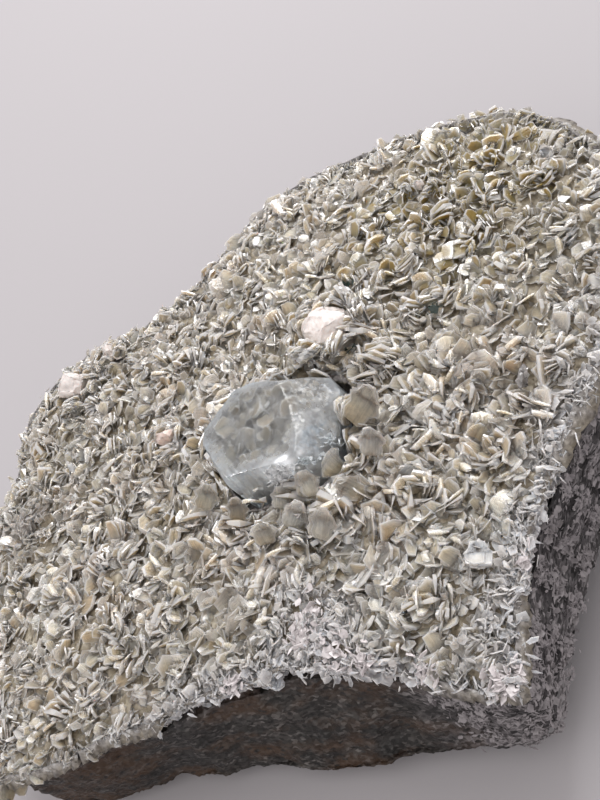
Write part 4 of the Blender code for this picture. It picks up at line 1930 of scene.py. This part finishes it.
@dataclass
class Studio:
    """The floor, the lights and the camera.

    Attributes:
        floor_gap: how far the floor lies under the rock.
        key_place: where the key light hangs.
        key_width: its width.
        key_power: its power in watts.
        fill: strength of the even light from all round.
        aim: the point that the camera looks at and the key light faces.
        elevation: how far the camera looks down, in degrees.
        roll: how far it is turned about its own axis, in degrees.
        distance: how far it stands from the aim.
        lens: its focal length in mm, on a sensor 36 mm wide.
    """

    floor_gap: float = 0.05 * MM
    key_place: Vector = field(default_factory=lambda: Vector((0.42, 0.33, 0.50)))
    key_width: float = 0.42
    key_power: float = 4.0
    fill: float = 1.27
    aim: Vector = field(default_factory=lambda: Vector((9.0 * MM, 0.46 * MM, 23.96 * MM)))
    elevation: float = 42.0
    roll: float = 49.5
    distance: float = 165.0 * MM
    lens: float = 49.5

    def build(self) -> None:
        """Set up the whole stage."""
        self.floor()
        self.lights()
        self.camera()

    def floor(self) -> None:
        """Lay a plain pale floor."""
        deselect_all()
        bpy.ops.mesh.primitive_plane_add(size=4.0, location=(0.0, 0.0, -self.floor_gap))
        floor = bpy.context.active_object
        floor.name = "floor"
        dress(floor, PlainFinish("pale_floor", "#a9a6a9", 0.9).material())

    def lights(self) -> None:
        """Hang a round key light at the back right, over an even fill from all round."""
        light = bpy.data.lights.new("key_light", "AREA")
        light.shape = "DISK"
        light.size = self.key_width
        light.energy = self.key_power
        lamp = add_object("key_light", light)
        lamp.location = self.key_place
        away = (self.key_place - self.aim).to_track_quat("Z", "Y")
        lamp.rotation_euler = away.to_matrix().to_euler()
        world = bpy.data.worlds.new("studio")
        world.use_nodes = True
        bpy.context.scene.world = world
        tree = world.node_tree
        feed(tree, tree.nodes["Background"], {"Color": "#e6e2e1", "Strength": self.fill})
        bpy.context.scene.view_settings.view_transform = "Standard"

    def camera(self) -> None:
        """Stand the camera in front of the slab, looking down at it and turned about its own axis."""
        tilt, roll = math.radians(self.elevation), math.radians(self.roll)
        right = Vector((1.0, 0.0, 0.0))
        up = Vector((0.0, math.sin(tilt), math.cos(tilt)))
        back = right.cross(up)
        right, up = (right * math.cos(roll) - up * math.sin(roll),
                     right * math.sin(roll) + up * math.cos(roll))
        place = self.aim + back * self.distance
        data = bpy.data.cameras.new("camera")
        data.sensor_width = 36.0
        data.lens = self.lens
        data.clip_start = 0.005
        camera = add_object("camera", data)
        camera.matrix_world = Matrix(((right.x, up.x, back.x, place.x), (right.y, up.y, back.y, place.y),
                                      (right.z, up.z, back.z, place.z), (0.0, 0.0, 0.0, 1.0)))
        bpy.context.scene.camera = camera


FRACTURE = Crumbs(
    "fracture_flakes",
    ((-0.9, -10.9, 30.2, 1.1), (-0.5, -11.9, 28.4, 1.2), (0.6, -12.0, 29.4, 1.2), (0.1, -12.3, 26.9, 1.1),
     (-1.8, -11.2, 28.0, 1.0)), 64, (0.25, 0.8), "aquamarine_crystal", FRONT)
CHIPS = Crumbs(
    "beryl_chips", ((3.0, -13.5, 28.9, 0.8), (3.6, -13.7, 27.6, 0.8), (7.0, -12.4, 27.1, 1.6),
                    (7.7, -12.9, 25.0, 1.4)), 22, (0.2, 0.6), "aquamarine_crystal", FRONT)
RUBBLE_EDGE = ((-7, -50), (-3.5, -54.5), (0, -57), (3.5, -54.5), (7, -50.5), (12, -46.3), (17, -43.3),
               (22, -41), (27, -39), (33, -37))
RUBBLE = Crumbs("crushed_rim", tuple((x, y, z, 2.2) for x, y in RUBBLE_EDGE for z in (8.0, 13.0, 18.0)),
                90, (0.2, 0.7), "matrix_rock", Vector(), 0.25)
CRUSHED = Crumbs(
    "crushed_mica",
    ((-11.8, -27.7, 25.5, 2.6), (-14.5, -28.7, 25.5, 2.2), (-12.9, -33.6, 25.0, 2.6),
     (2.2, -55.5, 24.0, 2.0), (-0.8, -55.2, 23.0, 2.0), (-10.9, -38.2, 25.0, 2.0),
     (-26.6, -24.6, 24.0, 1.6), (-6.4, -46.8, 24.5, 1.8), (12.4, -47.0, 25.0, 1.6)),
    48, (0.3, 1.0), "mica_crust", UP, 0.6)
GRAINS = Crumbs(
    "dark_green_grains", ((31.3, -9.2, 25.0, 0.8), (19.5, -1.0, 25.0, 1.6), (23.0, 3.0, 25.0, 1.2),
                          (27.0, 9.0, 25.0, 1.0)), 12, (0.4, 1.0), "mica_crust", UP)


# Each heap with its slot and the name, colour, clearness and roughness of its finish.
HEAPS = (
    (FRACTURE, "aquamarine", ("fracture_flakes", "#f4f6f8", 0.25, 0.3)),
    (CHIPS, "aquamarine", ("beryl_chips", "#e3eaee", 0.35, 0.15)),
    (GRAINS, "mica", ("dark_green_grains", "#3f4d47", 0.1, 0.25)),
    (CRUSHED, "mica", ("crushed_mica", "#dfd9da", 0.1, 0.3)),
    (RUBBLE, "granite", ("crushed_rock", "#8d888a", 0.0, 0.5)))


def main() -> None:
    """Build every piece in order and report each one."""
    logging.basicConfig(level=logging.INFO, format="%(name)s: %(message)s")
    Studio().build()
    mica = MicaFinish().material()
    ground = Ground()
    settle(MicaBed().build(FeltFinish().material()), "mica", ["mica_crust"])
    for piece in MicaCarpet(ground).build(mica):
        settle(piece, "mica")
    settle(GraniteBlock().build(GraniteFinish().material()), "granite", ["matrix_rock"])
    feldspar = FeldsparFinish().material()
    pink = FeldsparFinish("pink_feldspar", pale="#e2d2cb", tinge="#c9b3a8").material()
    quartz = QuartzFinish().material()
    grower = LumpGrower()
    finishes = {Lump.PINK: pink, Lump.QUARTZ: quartz}
    for lump in Lump:
        slot = "quartz" if lump is Lump.QUARTZ else "feldspar"
        settle(grower.build(lump, finishes.get(lump, feldspar)), slot, [lump.value])
    crystal = Aquamarine(ground)
    settle(crystal.build(BerylFinish().material()), "aquamarine", ["aquamarine_crystal"])
    # The mica sealed in the aquamarine is made darker as painted shade, since the crystal casts no shadow on
    # it.
    settle(crystal.seal(MicaFinish("shaded_muscovite_in_beryl", clear=0.2, shade=0.55).material()), "mica")
    for heap, slot, finish in HEAPS:
        settle(heap.build(ground, GlassyFlakeFinish(*finish).material()), slot)


if __name__ == "__main__":
    main()
